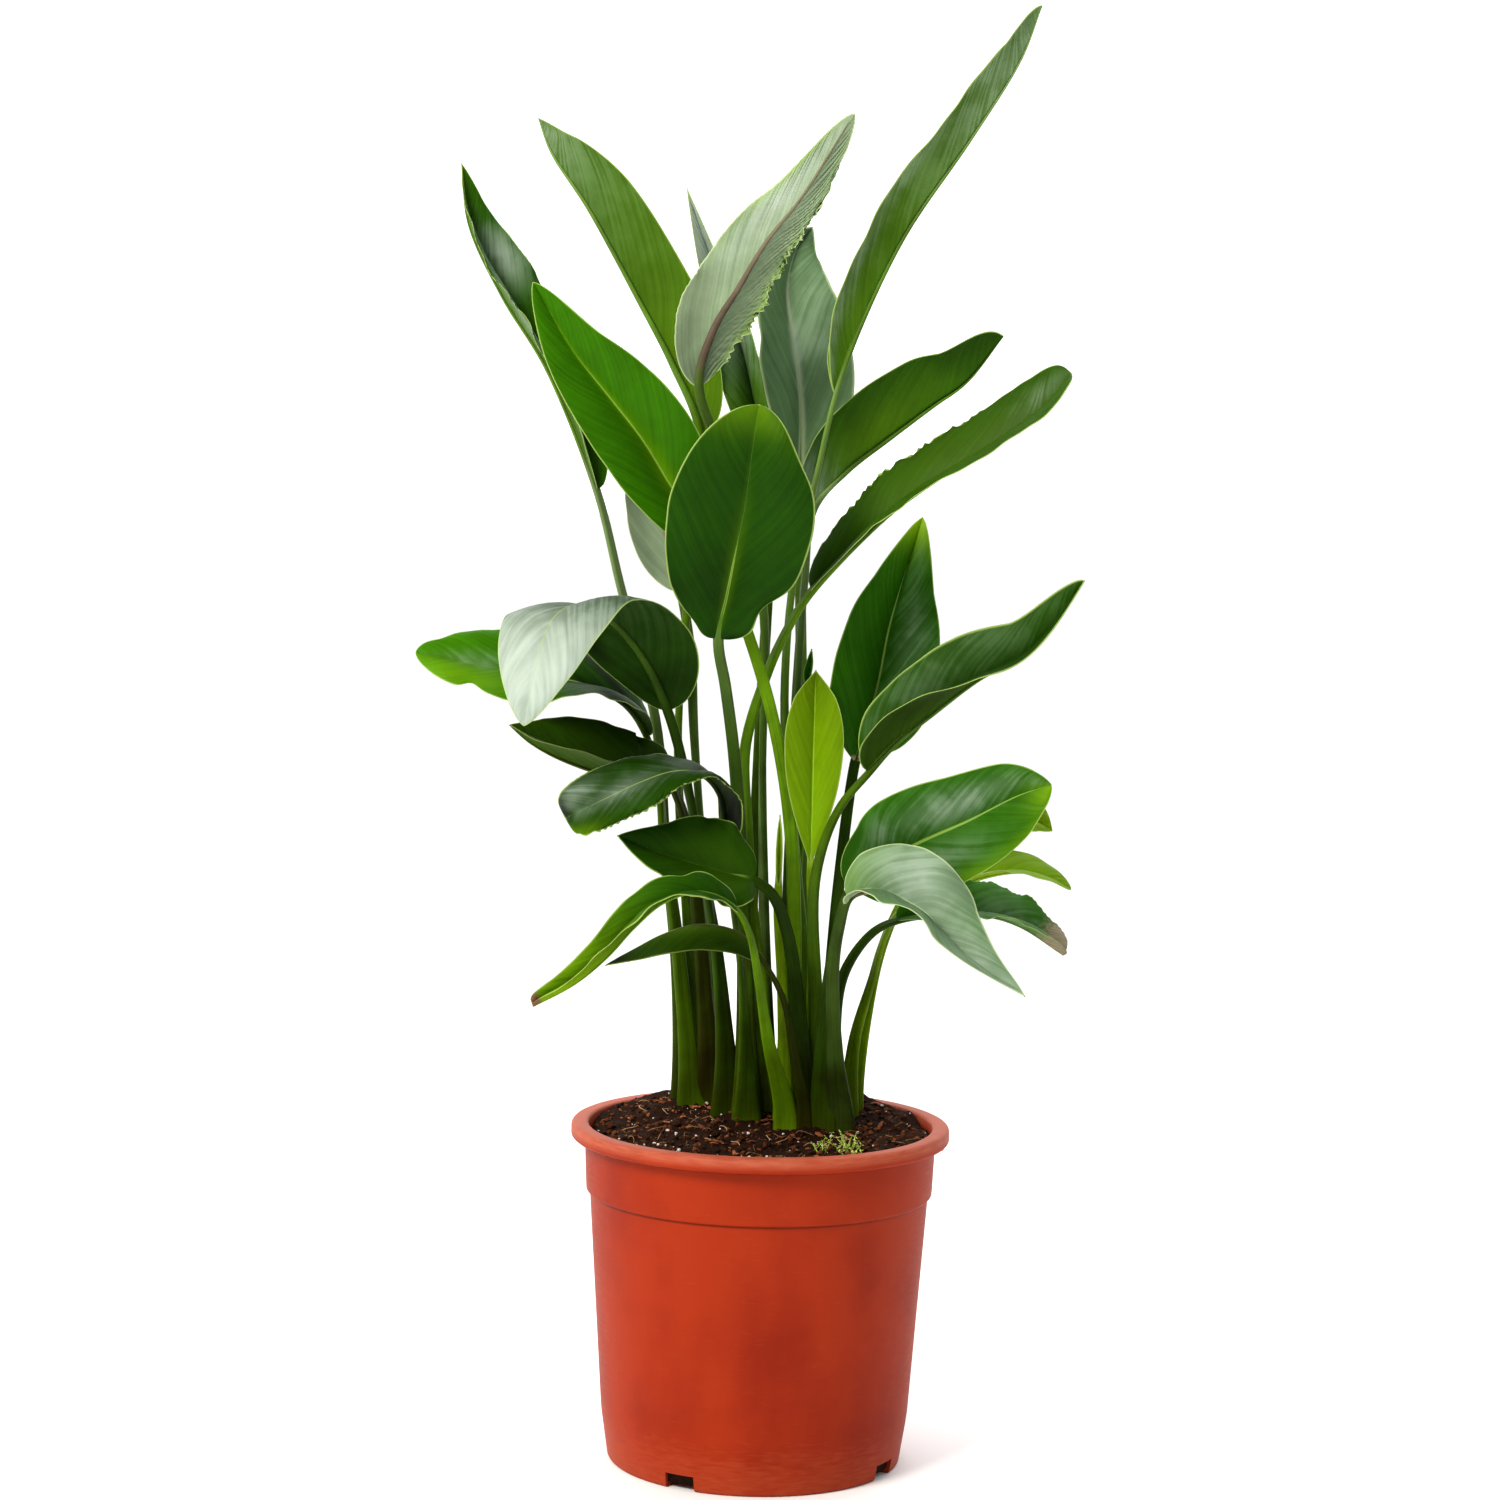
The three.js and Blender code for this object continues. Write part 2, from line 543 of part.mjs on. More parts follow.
// Half width of a blade at share t of its length, as a share of its widest
function outline(t, widest = WIDEST, blunt = BLUNT, base = BASE) {
  if (t < widest) {
    const u = (widest - t) / widest;
    return Math.max(0, 1 - u * u) ** base;
  }
  return Math.max(0, Math.cos(((t - widest) / (1 - widest)) * (Math.PI / 2))) ** blunt;
}

// The turn that makes a leaf's upper face look along a direction, at a point with this tangent
function turnTo(direction, tangent) {
  const right = new THREE.Vector3().crossVectors(AXIS_Y, tangent).normalize();
  const front = new THREE.Vector3().crossVectors(right, tangent).normalize();
  return THREE.MathUtils.radToDeg(Math.atan2(-direction.dot(right), direction.dot(front)));
}

// The turn of a leaf at share t of its blade
function turnAt(leaf, t, tangent) {
  if (!leaf.face) {
    return along(leaf.turn, t);
  }
  const [x, y, z] = [0, 1, 2].map((axis) => along(leaf.face.map((direction) => direction[axis]), t));
  return turnTo(new THREE.Vector3(x, y, z), tangent);
}

function mixSections(a, b, share) {
  const lerp = THREE.MathUtils.lerp;
  const mix = (p, q) => [lerp(p[0], q[0], share), lerp(p[1], q[1], share)];
  return {
    upper: a.upper.map((p, i) => mix(p, b.upper[i])),
    under: a.under.map((p, i) => mix(p, b.under[i])),
  };
}

// A section set across the curve at a point: u runs to the leaf's right, v to its upper face
function place(section, centre, tangent, turn) {
  const right = new THREE.Vector3().crossVectors(AXIS_Y, tangent).normalize();
  const front = new THREE.Vector3().crossVectors(right, tangent).normalize();
  const angle = THREE.MathUtils.degToRad(turn);
  const side = right.clone().multiplyScalar(Math.cos(angle)).addScaledVector(front, Math.sin(angle));
  const face = front.clone().multiplyScalar(Math.cos(angle)).addScaledVector(right, -Math.sin(angle));
  const set = ([u, v]) => centre.clone().addScaledVector(side, u).addScaledVector(face, v);
  return { upper: section.upper.map(set), under: section.under.map(set) };
}

// Rings of a leaf, from the stalk's foot in the crown to the tip of the blade
function leafRings(leaf) {
  const [x, y] = leaf.foot;
  const bladeRings = leaf.rings ?? BLADE_RINGS;
  const scale = THREE.MathUtils.clamp(leaf.half / 32, 0.72, 1);
  const wide = STALK_HALF_WIDTH * scale;
  const deep = STALK_HALF_DEPTH * scale;
  const up = new THREE.Vector3(0, 0, 1);
  const buried = stalkSection(wide, deep);
  const rings = [place(buried, new THREE.Vector3(x, y, CROWN_TOP), up, 0)];
  const route = [[x, y, STRAIGHT_TOP - 24], [x, y, STRAIGHT_TOP], ...leaf.stalk, ...leaf.rib].map(toPoint);
  const curve = new THREE.CatmullRomCurve3(route, false, "centripetal");
  const last = route.length - 1;
  const start = 1 / last;
  const blade = (leaf.stalk.length + 2) / last;
  rings.push(place(buried, route[1], up, 0));
  const footTurn = turnAt(leaf, 0, curve.getTangent(blade));
  for (let i = 1; i < STALK_RINGS; i += 1) {
    const share = i / STALK_RINGS;
    const at = THREE.MathUtils.lerp(start, blade, share);
    const shrink = THREE.MathUtils.lerp(1, STALK_TAPER, share ** 0.7);
    const section = stalkSection(wide * shrink, deep * shrink);
    const swing = THREE.MathUtils.smoothstep(share, 0, 1) * footTurn;
    rings.push(place(section, curve.getPoint(at), curve.getTangent(at), swing));
  }
  const [waveSize, waveCount] = leaf.wave;
  const [tear, tears] = leaf.torn ?? [0, 1];
  for (let i = 0; i <= bladeRings; i += 1) {
    const share = i / bladeRings;
    const t = THREE.MathUtils.lerp(share, 0.5 - 0.5 * Math.cos(Math.PI * share), 0.5);
    const at = THREE.MathUtils.lerp(blade, 1, t);
    const thin = STALK_TAPER * (1 - 0.8 * t);
    const width = Math.max(leaf.half * outline(t, leaf.widest, leaf.blunt, leaf.base), 0.7);
    const rag = 1 - tear * (0.5 + 0.5 * Math.sin(2 * Math.PI * tears * t));
    const swell = waveSize * Math.sin(Math.PI * t) ** 0.5;
    const waves = [0, 0.37].map((shift) => swell * Math.sin(2 * Math.PI * (waveCount * t + shift)));
    const fold = along(leaf.fold, t);
    const keel = KEEL * scale * (1 - t) ** 0.8;
    const flat = bladeSection([width * rag, width], [fold, fold, ...waves], keel);
    const join = THREE.MathUtils.smoothstep(t, 0, JOIN);
    const section = mixSections(stalkSection(wide * thin, deep * thin), flat, join);
    const tangent = curve.getTangent(at);
    rings.push(place(section, curve.getPoint(at), tangent, turnAt(leaf, t, tangent)));
  }
  return rings;
}

// A leaf: stalk and blade in one skin, each face split into triangles alike
function leafGeometry(leaf) {
  const rings = leafRings(leaf);
  const across = rings[0].upper.length;
  const points = rings.flatMap((ring) => [...ring.upper, ...ring.under]);
  const triangles = [];
  const quad = (a, b, c, d) => triangles.push(a, b, c, a, c, d);
  for (let i = 0; i < rings.length - 1; i += 1) {
    const a = i * across * 2;
    const b = a + across * 2;
    for (let k = 0; k < across - 1; k += 1) {
      const [p, q] = [a + across, b + across];
      quad(a + k, a + k + 1, b + k + 1, b + k);
      triangles.push(p + k, q + k + 1, p + k + 1, p + k, q + k, q + k + 1);
    }
    quad(a, b, b + across, a + across);
    quad(a + across - 1, a + across * 2 - 1, b + across * 2 - 1, b + across - 1);
  }
  const end = (rings.length - 1) * across * 2;
  for (let k = 0; k < across - 1; k += 1) {
    quad(k, k + across, k + across + 1, k + 1);
    quad(end + k, end + k + 1, end + k + across + 1, end + k + across);
  }
  return toGeometry(toSolid(toMesh(points, triangles)));
}

// The plain hole that a stalk stands in
function stalkHole(leaf) {
  const scale = THREE.MathUtils.clamp(leaf.half / 32, 0.72, 1);
  const room = GAP * 1.3;
  const { upper, under } = stalkSection(STALK_HALF_WIDTH * scale + room, STALK_HALF_DEPTH * scale + room);
  const ring = [...under, ...upper.reverse()].map(([u, v]) => new THREE.Vector2(u, -v));
  const hole = new THREE.ExtrudeGeometry(new THREE.Shape(ring), { depth: 60, bevelEnabled: false });
  hole.translate(leaf.foot[0], leaf.foot[1], CROWN_TOP - GAP - 1);
  return toSolid(hole);
}

function soil() {
  let solid = soilBlock().subtract(crown(GAP));
  for (const leaf of LEAVES) {
    solid = solid.subtract(stalkHole(leaf));
  }
  return toGeometry(solid);
}

function addMesh(group, name, geometry, colour, roughness) {
  const material = new THREE.MeshStandardMaterial({ color: colour, roughness, metalness: 0 });
  const mesh = new THREE.Mesh(geometry, material);
  mesh.name = name;
  group.add(mesh);
}

const plant = new THREE.Group();
addMesh(plant, "pot", pot(), COLOURS.pot, 0.55);
addMesh(plant, "soil", soil(), COLOURS.soil, 0.95);
addMesh(plant, "crown_and_roots", toGeometry(crown(0)), COLOURS.root, 0.8);
for (const leaf of LEAVES) {
  addMesh(plant, leaf.name, leafGeometry(leaf), COLOURS[leaf.colour], 0.4);
}

export default plant;
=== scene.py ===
"""Dresses the potted bird of paradise: waxy veined leaves, peat and a moulded nursery pot.

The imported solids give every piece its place. Sizes here are millimetres, turned to metres when a
mesh is made. A share runs from 0 to 1 along something.
"""

from __future__ import annotations

import logging
import math
import random
from dataclasses import dataclass
from enum import Enum
from functools import partial

import bmesh
import bpy
import numpy as np
from mathutils import Matrix, Vector, noise

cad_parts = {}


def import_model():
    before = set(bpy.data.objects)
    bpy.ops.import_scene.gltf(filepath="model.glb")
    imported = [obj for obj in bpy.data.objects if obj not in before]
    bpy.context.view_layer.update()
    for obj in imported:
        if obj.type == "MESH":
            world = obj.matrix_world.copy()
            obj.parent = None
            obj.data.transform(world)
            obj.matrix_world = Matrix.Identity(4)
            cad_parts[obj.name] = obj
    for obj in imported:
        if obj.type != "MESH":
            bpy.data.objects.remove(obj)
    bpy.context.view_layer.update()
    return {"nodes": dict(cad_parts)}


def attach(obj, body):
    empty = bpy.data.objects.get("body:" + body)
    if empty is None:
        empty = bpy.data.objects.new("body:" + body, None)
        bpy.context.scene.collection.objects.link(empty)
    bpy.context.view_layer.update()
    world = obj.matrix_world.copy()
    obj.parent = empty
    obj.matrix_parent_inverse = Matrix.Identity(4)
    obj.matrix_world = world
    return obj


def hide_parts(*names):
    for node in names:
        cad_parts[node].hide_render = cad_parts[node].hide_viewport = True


LOG = logging.getLogger("potted_bird_of_paradise")

MM = 0.001
BODY = "root"
SEED = 8

Points = tuple[tuple[float, float, float], ...]
Curve = tuple[float, ...]


def linear(code: str) -> tuple[float, float, float, float]:
    """Turns an sRGB hex colour to linear light.

    Args:
        code: The colour as "#rrggbb".

    Returns:
        Linear red, green, blue and an alpha of 1.
    """
    parts = [int(code[i : i + 2], 16) / 255 for i in (1, 3, 5)]
    light = [p / 12.92 if p <= 0.04045 else ((p + 0.055) / 1.055) ** 2.4 for p in parts]
    return (light[0], light[1], light[2], 1.0)


def add_node(
    tree: bpy.types.NodeTree, kind: str, inputs: dict | None = None, **settings: object
) -> bpy.types.Node:
    """Adds a shader node with its settings, and sets or links its inputs.

    Args:
        tree: The node tree.
        kind: Blender's name for the node, after "ShaderNode".
        inputs: Input names or numbers, each with a value, a socket that feeds it, or a node that feeds
            it from its first live output.
        settings: The node's own properties.

    Returns:
        The new node.
    """
    made = tree.nodes.new(f"ShaderNode{kind}")
    for name, value in settings.items():
        setattr(made, name, value)
    for key, value in (inputs or {}).items():
        if isinstance(value, bpy.types.Node):
            value = next(socket for socket in value.outputs if socket.enabled)
        if isinstance(value, bpy.types.NodeSocket):
            tree.links.new(value, made.inputs[key])
        else:
            made.inputs[key].default_value = value
    return made


def new_material(name: str) -> tuple[bpy.types.Material, bpy.types.NodeTree]:
    """Makes a material with no nodes.

    Args:
        name: The material's name.

    Returns:
        The material and its tree.
    """
    material = bpy.data.materials.new(name)
    material.use_nodes = True
    material.node_tree.nodes.clear()
    return material, material.node_tree


def add_object(name: str, data: bpy.types.ID) -> bpy.types.Object:
    """Makes an object of a mesh, a light or a camera, and puts it in the scene.

    Args:
        name: The object's name.
        data: The mesh, light or camera.

    Returns:
        The object.
    """
    made = bpy.data.objects.new(name, data)
    bpy.context.scene.collection.objects.link(made)
    return made


@dataclass
class Surface:
    """A mesh in the making: a grid of points with their UVs and painted values, and the faces."""

    points: np.ndarray
    faces: list[tuple[int, ...]]
    uv: np.ndarray
    form: np.ndarray
    paint: np.ndarray
    slot: int = 0


def join(surfaces: list[Surface], name: str, materials: list[bpy.types.Material]) -> bpy.types.Object:
    """Makes one smooth object of several surfaces.

    Args:
        surfaces: The surfaces, in millimetres.
        name: The object's name.
        materials: Its materials. A surface's slot is a place in this list.

    Returns:
        The object, in metres, in the scene.
    """
    rows = {}
    for label, width in (("points", 3), ("uv", 2), ("form", 4), ("paint", 4)):
        rows[label] = np.vstack([getattr(s, label).reshape(-1, width) for s in surfaces])
    starts = np.cumsum([0] + [s.points.size // 3 for s in surfaces])
    faces = [tuple(i + int(start) for i in face) for s, start in zip(surfaces, starts) for face in s.faces]
    mesh = bpy.data.meshes.new(name)
    mesh.from_pydata((rows["points"] * MM).tolist(), [], faces)
    for material in materials:
        mesh.materials.append(material)
    slots = np.repeat([s.slot for s in surfaces], [len(s.faces) for s in surfaces])
    mesh.polygons.foreach_set("material_index", slots.astype(np.int32))
    mesh.shade_smooth()
    corners = np.empty(len(mesh.loops), dtype=np.int32)
    mesh.loops.foreach_get("vertex_index", corners)
    layer = mesh.uv_layers.new(name="Veins")
    layer.data.foreach_set("uv", rows["uv"][corners].astype(np.float32).ravel())
    for label in ("form", "paint"):
        painted = mesh.attributes.new(label, "FLOAT_COLOR", "POINT")
        painted.data.foreach_set("color", rows[label].astype(np.float32).ravel())
    return add_object(name, mesh)


def ring_faces(rings: int, sides: int) -> list[tuple[int, ...]]:
    """Quads that join rings of points, row after row.

    Args:
        rings: How many rings.
        sides: How many points each has.

    Returns:
        The faces, as places in the list of points.
    """
    down = np.arange(rings - 1)[:, None] * sides
    here = np.arange(sides)[None, :]
    after = (here + 1) % sides
    corners = [down + here, down + after, down + sides + after, down + sides + here]
    return [tuple(quad) for quad in np.stack(corners, axis=-1).reshape(-1, 4).tolist()]


def tube_faces(rings: int, sides: int, flipped: bool = False) -> list[tuple[int, ...]]:
    """Faces of rings of points that make a tube with closed ends.

    Args:
        rings: How many rings.
        sides: How many points each has.
        flipped: Whether the faces look the other way.

    Returns:
        The faces, as places in the list of points.
    """
    last = (rings - 1) * sides
    faces = [*ring_faces(rings, sides), tuple(reversed(range(sides))), tuple(range(last, last + sides))]
    return [face[::-1] for face in faces] if flipped else faces


class Heap:
    """Many small lumps, in millimetres, that become one mesh."""

    def __init__(self) -> None:
        """Starts with none."""
        self.points: list[Vector] = []
        self.faces: list[tuple[int, ...]] = []

    def add(self, points: list[Vector], faces: list[tuple[int, ...]]) -> None:
        """Adds a lump.

        Args:
            points: Its points.
            faces: Its faces, which count its own points from 0.
        """
        start = len(self.points)
        self.points.extend(points)
        self.faces.extend(tuple(start + i for i in face) for face in faces)

    def add_tube(self, path: list[Vector], radii: list[float], sides: int = 5) -> None:
        """Adds a closed tube.

        Args:
            path: Its centre line.
            radii: Its radius at each point of the path.
            sides: How many sides it has.
        """
        points = []
        for k, (centre, radius) in enumerate(zip(path, radii)):
            tangent = (path[min(k + 1, len(path) - 1)] - path[max(k - 1, 0)]).normalized()
            across = tangent.cross(Vector((0.3, 0.2, 1))).normalized()
            out = across.cross(tangent)
            for angle in (j / sides * 2 * math.pi for j in range(sides)):
                points.append(centre + (across * math.cos(angle) + out * math.sin(angle)) * radius)
        self.add(points, tube_faces(len(path), sides))


def smoothstep(low: float, high: float, value: np.ndarray) -> np.ndarray:
    """Eases from 0 at low to 1 at high."""
    share = np.clip((value - low) / (high - low), 0, 1)
    return share * share * (3 - 2 * share)


def eased(values: tuple, share: np.ndarray) -> np.ndarray:
    """A smooth line through a list's entries.

    Args:
        values: Numbers, or tuples of numbers, evenly spaced.
        share: Where along the list.

    Returns:
        The value at each share.
    """
    knots = np.asarray(values, dtype=float)
    slopes = np.gradient(knots, axis=0)
    place = np.clip(share, 0, 1) * (len(knots) - 1)
    step = np.minimum(place.astype(int), len(knots) - 2)
    w = place - step
    if knots.ndim > 1:
        w = w[..., None]
    rise = knots[step + 1] - knots[step]
    ease = w * w * (3 - 2 * w)
    return knots[step] + rise * ease + w * (1 - w) * ((1 - w) * slopes[step] - w * slopes[step + 1])


def wander(points: np.ndarray, seed: float) -> np.ndarray:
    """Smooth noise from -1 to 1 at points that are given in noise units.

    Args:
        points: The points, in noise units.
        seed: How far the noise is shifted.

    Returns:
        The noise at each point.
    """
    flat = points.reshape(-1, 3)
    values = [noise.noise(Vector((p[0] + seed, p[1], p[2] - seed))) for p in flat]
    return np.asarray(values).reshape(points.shape[:-1])


class Route:
    """A smooth line through points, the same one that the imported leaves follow."""

    def __init__(self, points: np.ndarray) -> None:
        """Works out one cubic for each span between points.

        Args:
            points: The points that the line goes through.
        """
        whole = np.vstack([2 * points[0] - points[1], points, 2 * points[-1] - points[-2]])
        gaps = np.sum(np.diff(whole, axis=0) ** 2, axis=1) ** 0.25
        a, b, c, d = whole[:-3], whole[1:-2], whole[2:-1], whole[3:]
        before, here, after = gaps[:-2, None], gaps[1:-1, None], gaps[2:, None]
        start = ((b - a) / before - (c - a) / (before + here) + (c - b) / here) * here
        end = ((c - b) / here - (d - b) / (here + after) + (d - c) / after) * here
        self.cubics = np.stack([b, start, 3 * (c - b) - 2 * start - end, 2 * (b - c) + start + end])
        self.spans = len(points) - 1

    def at(self, share: np.ndarray) -> tuple[np.ndarray, np.ndarray]:
        """Finds places on the line.

        Args:
            share: Shares of the line.

        Returns:
            The points there, and the unit tangents.
        """
        place = np.clip(share, 0, 1) * self.spans
        span = np.minimum(place.astype(int), self.spans - 1)
        w = (place - span)[..., None]
        c = self.cubics[:, span]
        tangent = c[1] + 2 * c[2] * w + 3 * c[3] * w * w
        length = np.linalg.norm(tangent, axis=-1, keepdims=True)
        return c[0] + c[1] * w + c[2] * w * w + c[3] * w**3, tangent / length

    def length(self, low: float, high: float) -> float:
        """The line's length between two shares."""
        points, _ = self.at(np.linspace(low, high, 80))
        return float(np.sum(np.linalg.norm(np.diff(points, axis=0), axis=1)))


class Tissue(Enum):
    """What a mark on a blade is: dead and brown, grey wax that is also a painted sheen, yellow-green, or
    black-green that is partly painted shade.

    The value is its channel in the painted colour.
    """

    DRY = 0
    # Grey wax bloom, also painted on as a sheen: a painted highlight on the glossy blades.
    BLOOM = 1
    FRESH = 2
    # Real blackened edges and tips, and painted shade on undersides and under arches.
    DARK = 3


@dataclass(frozen=True)
class Mark:
    """A patch on a blade. t and along are shares of its length, and s and across of its half width."""

    tissue: Tissue
    t: float
    s: float
    along: float
    across: float
    strength: float = 1.0


dry, bloom_and_sheen, fresh, dark = (partial(Mark, tissue) for tissue in Tissue)


@dataclass(frozen=True)
class LeafSkin:
    """Living leaf: a waxy cuticle over green tissue, glossy on the upper face, paler and duller below.

    The wax colour is painted on in streaky patches, partly as wax bloom and partly as a painted sheen, and
    the side veins run off the midrib as fine streaks. The streaks are given as widths and lengths, and the
    clouds of uneven green as widths.
    """

    name: str
    upper: str
    under: str
    rib: str = "#94b058"
    edge: str = "#a8bc6c"
    wax_and_sheen: str = "#a9b5a9"
    young: str = "#86ad14"
    dead: str = "#7d6446"
    roughness: float = 0.36
    gloss: float = 0.08
    streaks_mm: tuple[tuple[float, float], ...] = ((1.6, 60.0), (6.0, 120.0))
    clouds_mm: tuple[float, ...] = (38.0, 11.0, 2.4)

    def build(self) -> bpy.types.Material:
        """Makes the material, which reads the form and paint values and the vein UVs of a blade."""
        material, tree = new_material(self.name)
        form = add_node(tree, "Attribute", attribute_name="form")
        side, rib_width, margin = add_node(tree, "SeparateColor", {0: form}).outputs
        paint = add_node(tree, "Attribute", attribute_name="paint")
        dead, wax_and_sheen, young = add_node(tree, "SeparateColor", {0: paint}).outputs
        uv = add_node(tree, "UVMap", uv_map="Veins")
        across = add_node(tree, "SeparateXYZ", {0: uv}).outputs[1]
        away = add_node(tree, "Math", {0: across}, operation="ABSOLUTE")
        place = add_node(tree, "TexCoord").outputs["Object"]

        patterns = []
        for wide, long in self.streaks_mm:
            scale = (1 / (wide * MM), 1 / (long * MM), 1.0)
            at = add_node(tree, "VectorMath", {0: uv, 1: scale}, operation="MULTIPLY")
            patterns.append(add_node(tree, "TexNoise", {"Vector": at, "Scale": 1.0, "Detail": 2.0}))
        for wide in self.clouds_mm:
            cloudy = {"Vector": place, "Scale": 1 / (wide * MM), "Detail": 3.0}
            patterns.append(add_node(tree, "TexNoise", cloudy))
        fine, vein, cloud, mottle, speck = patterns

        tone = 0.05
        for pattern, share in ((vein, 0.7), (fine, 0.4), (cloud, 0.5), (mottle, 0.3)):
            tone = add_node(tree, "Math", {0: pattern, 1: share, 2: tone}, operation="MULTIPLY_ADD")
        tone = add_node(tree, "Math", {0: tone, 1: form.outputs["Alpha"]}, operation="MULTIPLY")
        faces = {0: side, 6: linear(self.under), 7: linear(self.upper)}
        face = add_node(tree, "Mix", faces, data_type="RGBA")
        colour = add_node(tree, "VectorMath", {0: face, 3: tone}, operation="SCALE")

        # Painted sheen: the wax colour is laid on in streaky patches where the bloom paint is, partly as
        # real wax bloom and partly as a painted highlight.
        broken = 0.0
        for pattern, share in ((cloud, 0.6), (mottle, 0.3), (vein, 0.65)):
            broken = add_node(tree, "Math", {0: pattern, 1: share, 2: broken}, operation="MULTIPLY_ADD")
        sheen_patch = add_node(tree, "MapRange", {0: broken, 1: 0.70, 2: 0.86, 3: 0.15, 4: 1.15})
        sheen_patch = add_node(tree, "Mix", {0: wax_and_sheen, 2: sheen_patch, 3: 1.0}, data_type="FLOAT")
        wax_and_sheen_share = add_node(tree, "Math", {0: wax_and_sheen, 1: sheen_patch}, operation="MULTIPLY", use_clamp=True)
        for share, tint in ((young, self.young), (wax_and_sheen_share, self.wax_and_sheen)):
            mixed = {0: share, 6: colour, 7: linear(tint)}
            colour = add_node(tree, "Mix", mixed, data_type="RGBA")
        # Painted shade: the dark paint darkens the colour nearly to black, for real blackened tissue and for
        # shade under arches and on undersides.
        shade = add_node(tree, "MapRange", {0: paint.outputs["Alpha"], 3: 1.0, 4: 0.08})
        colour = add_node(tree, "VectorMath", {0: colour, 3: shade}, operation="SCALE")

        rib_span = add_node(tree, "Math", {0: rib_width, 1: MM}, operation="MULTIPLY")
        rib_off = add_node(tree, "Math", {0: away, 1: rib_span}, operation="DIVIDE")
        ribbed = add_node(tree, "MapRange", {0: rib_off, 1: 1.0, 2: 0.4, 3: 0.0, 4: 0.75})
        edged = add_node(tree, "MapRange", {0: margin, 1: 0.35, 2: 1.0, 3: 0.0, 4: 0.75})
        frayed = add_node(tree, "Math", {0: speck, 1: 0.5, 2: dead}, operation="MULTIPLY_ADD")
        withered = add_node(tree, "MapRange", {0: frayed, 1: 0.55, 2: 0.80})
        husk_tone = add_node(tree, "Math", {0: fine, 1: 1.1, 2: 0.45}, operation="MULTIPLY_ADD")
        husk = {0: linear(self.dead)[:3], 3: husk_tone}
        husk = add_node(tree, "VectorMath", husk, operation="SCALE")
        for share, tint in ((ribbed, linear(self.rib)), (edged, linear(self.edge)), (withered, husk)):
            colour = add_node(tree, "Mix", {0: share, 6: colour, 7: tint}, data_type="RGBA")

        dull = add_node(tree, "MapRange", {0: side, 3: self.roughness + 0.16, 4: self.roughness})
        for pattern, share in ((cloud, 0.16), (withered, 0.35)):
            dull = add_node(tree, "Math", {0: pattern, 1: share, 2: dull}, operation="MULTIPLY_ADD")
        relief = add_node(tree, "Math", {0: fine, 1: 0.35, 2: vein}, operation="MULTIPLY_ADD")
        bump = add_node(tree, "Bump", {"Strength": 0.65, "Distance": 0.5 * MM, "Height": relief})
        pores = {"Strength": 0.25, "Distance": 0.1 * MM, "Height": speck, "Normal": bump}
        surface = {"Base Color": colour, "Roughness": dull, "Normal": add_node(tree, "Bump", pores)}
        surface |= {"IOR": 1.46, "Specular IOR Level": self.gloss}
        shader = add_node(tree, "BsdfPrincipled", surface)
        add_node(tree, "OutputMaterial", {"Surface": shader})
        return material


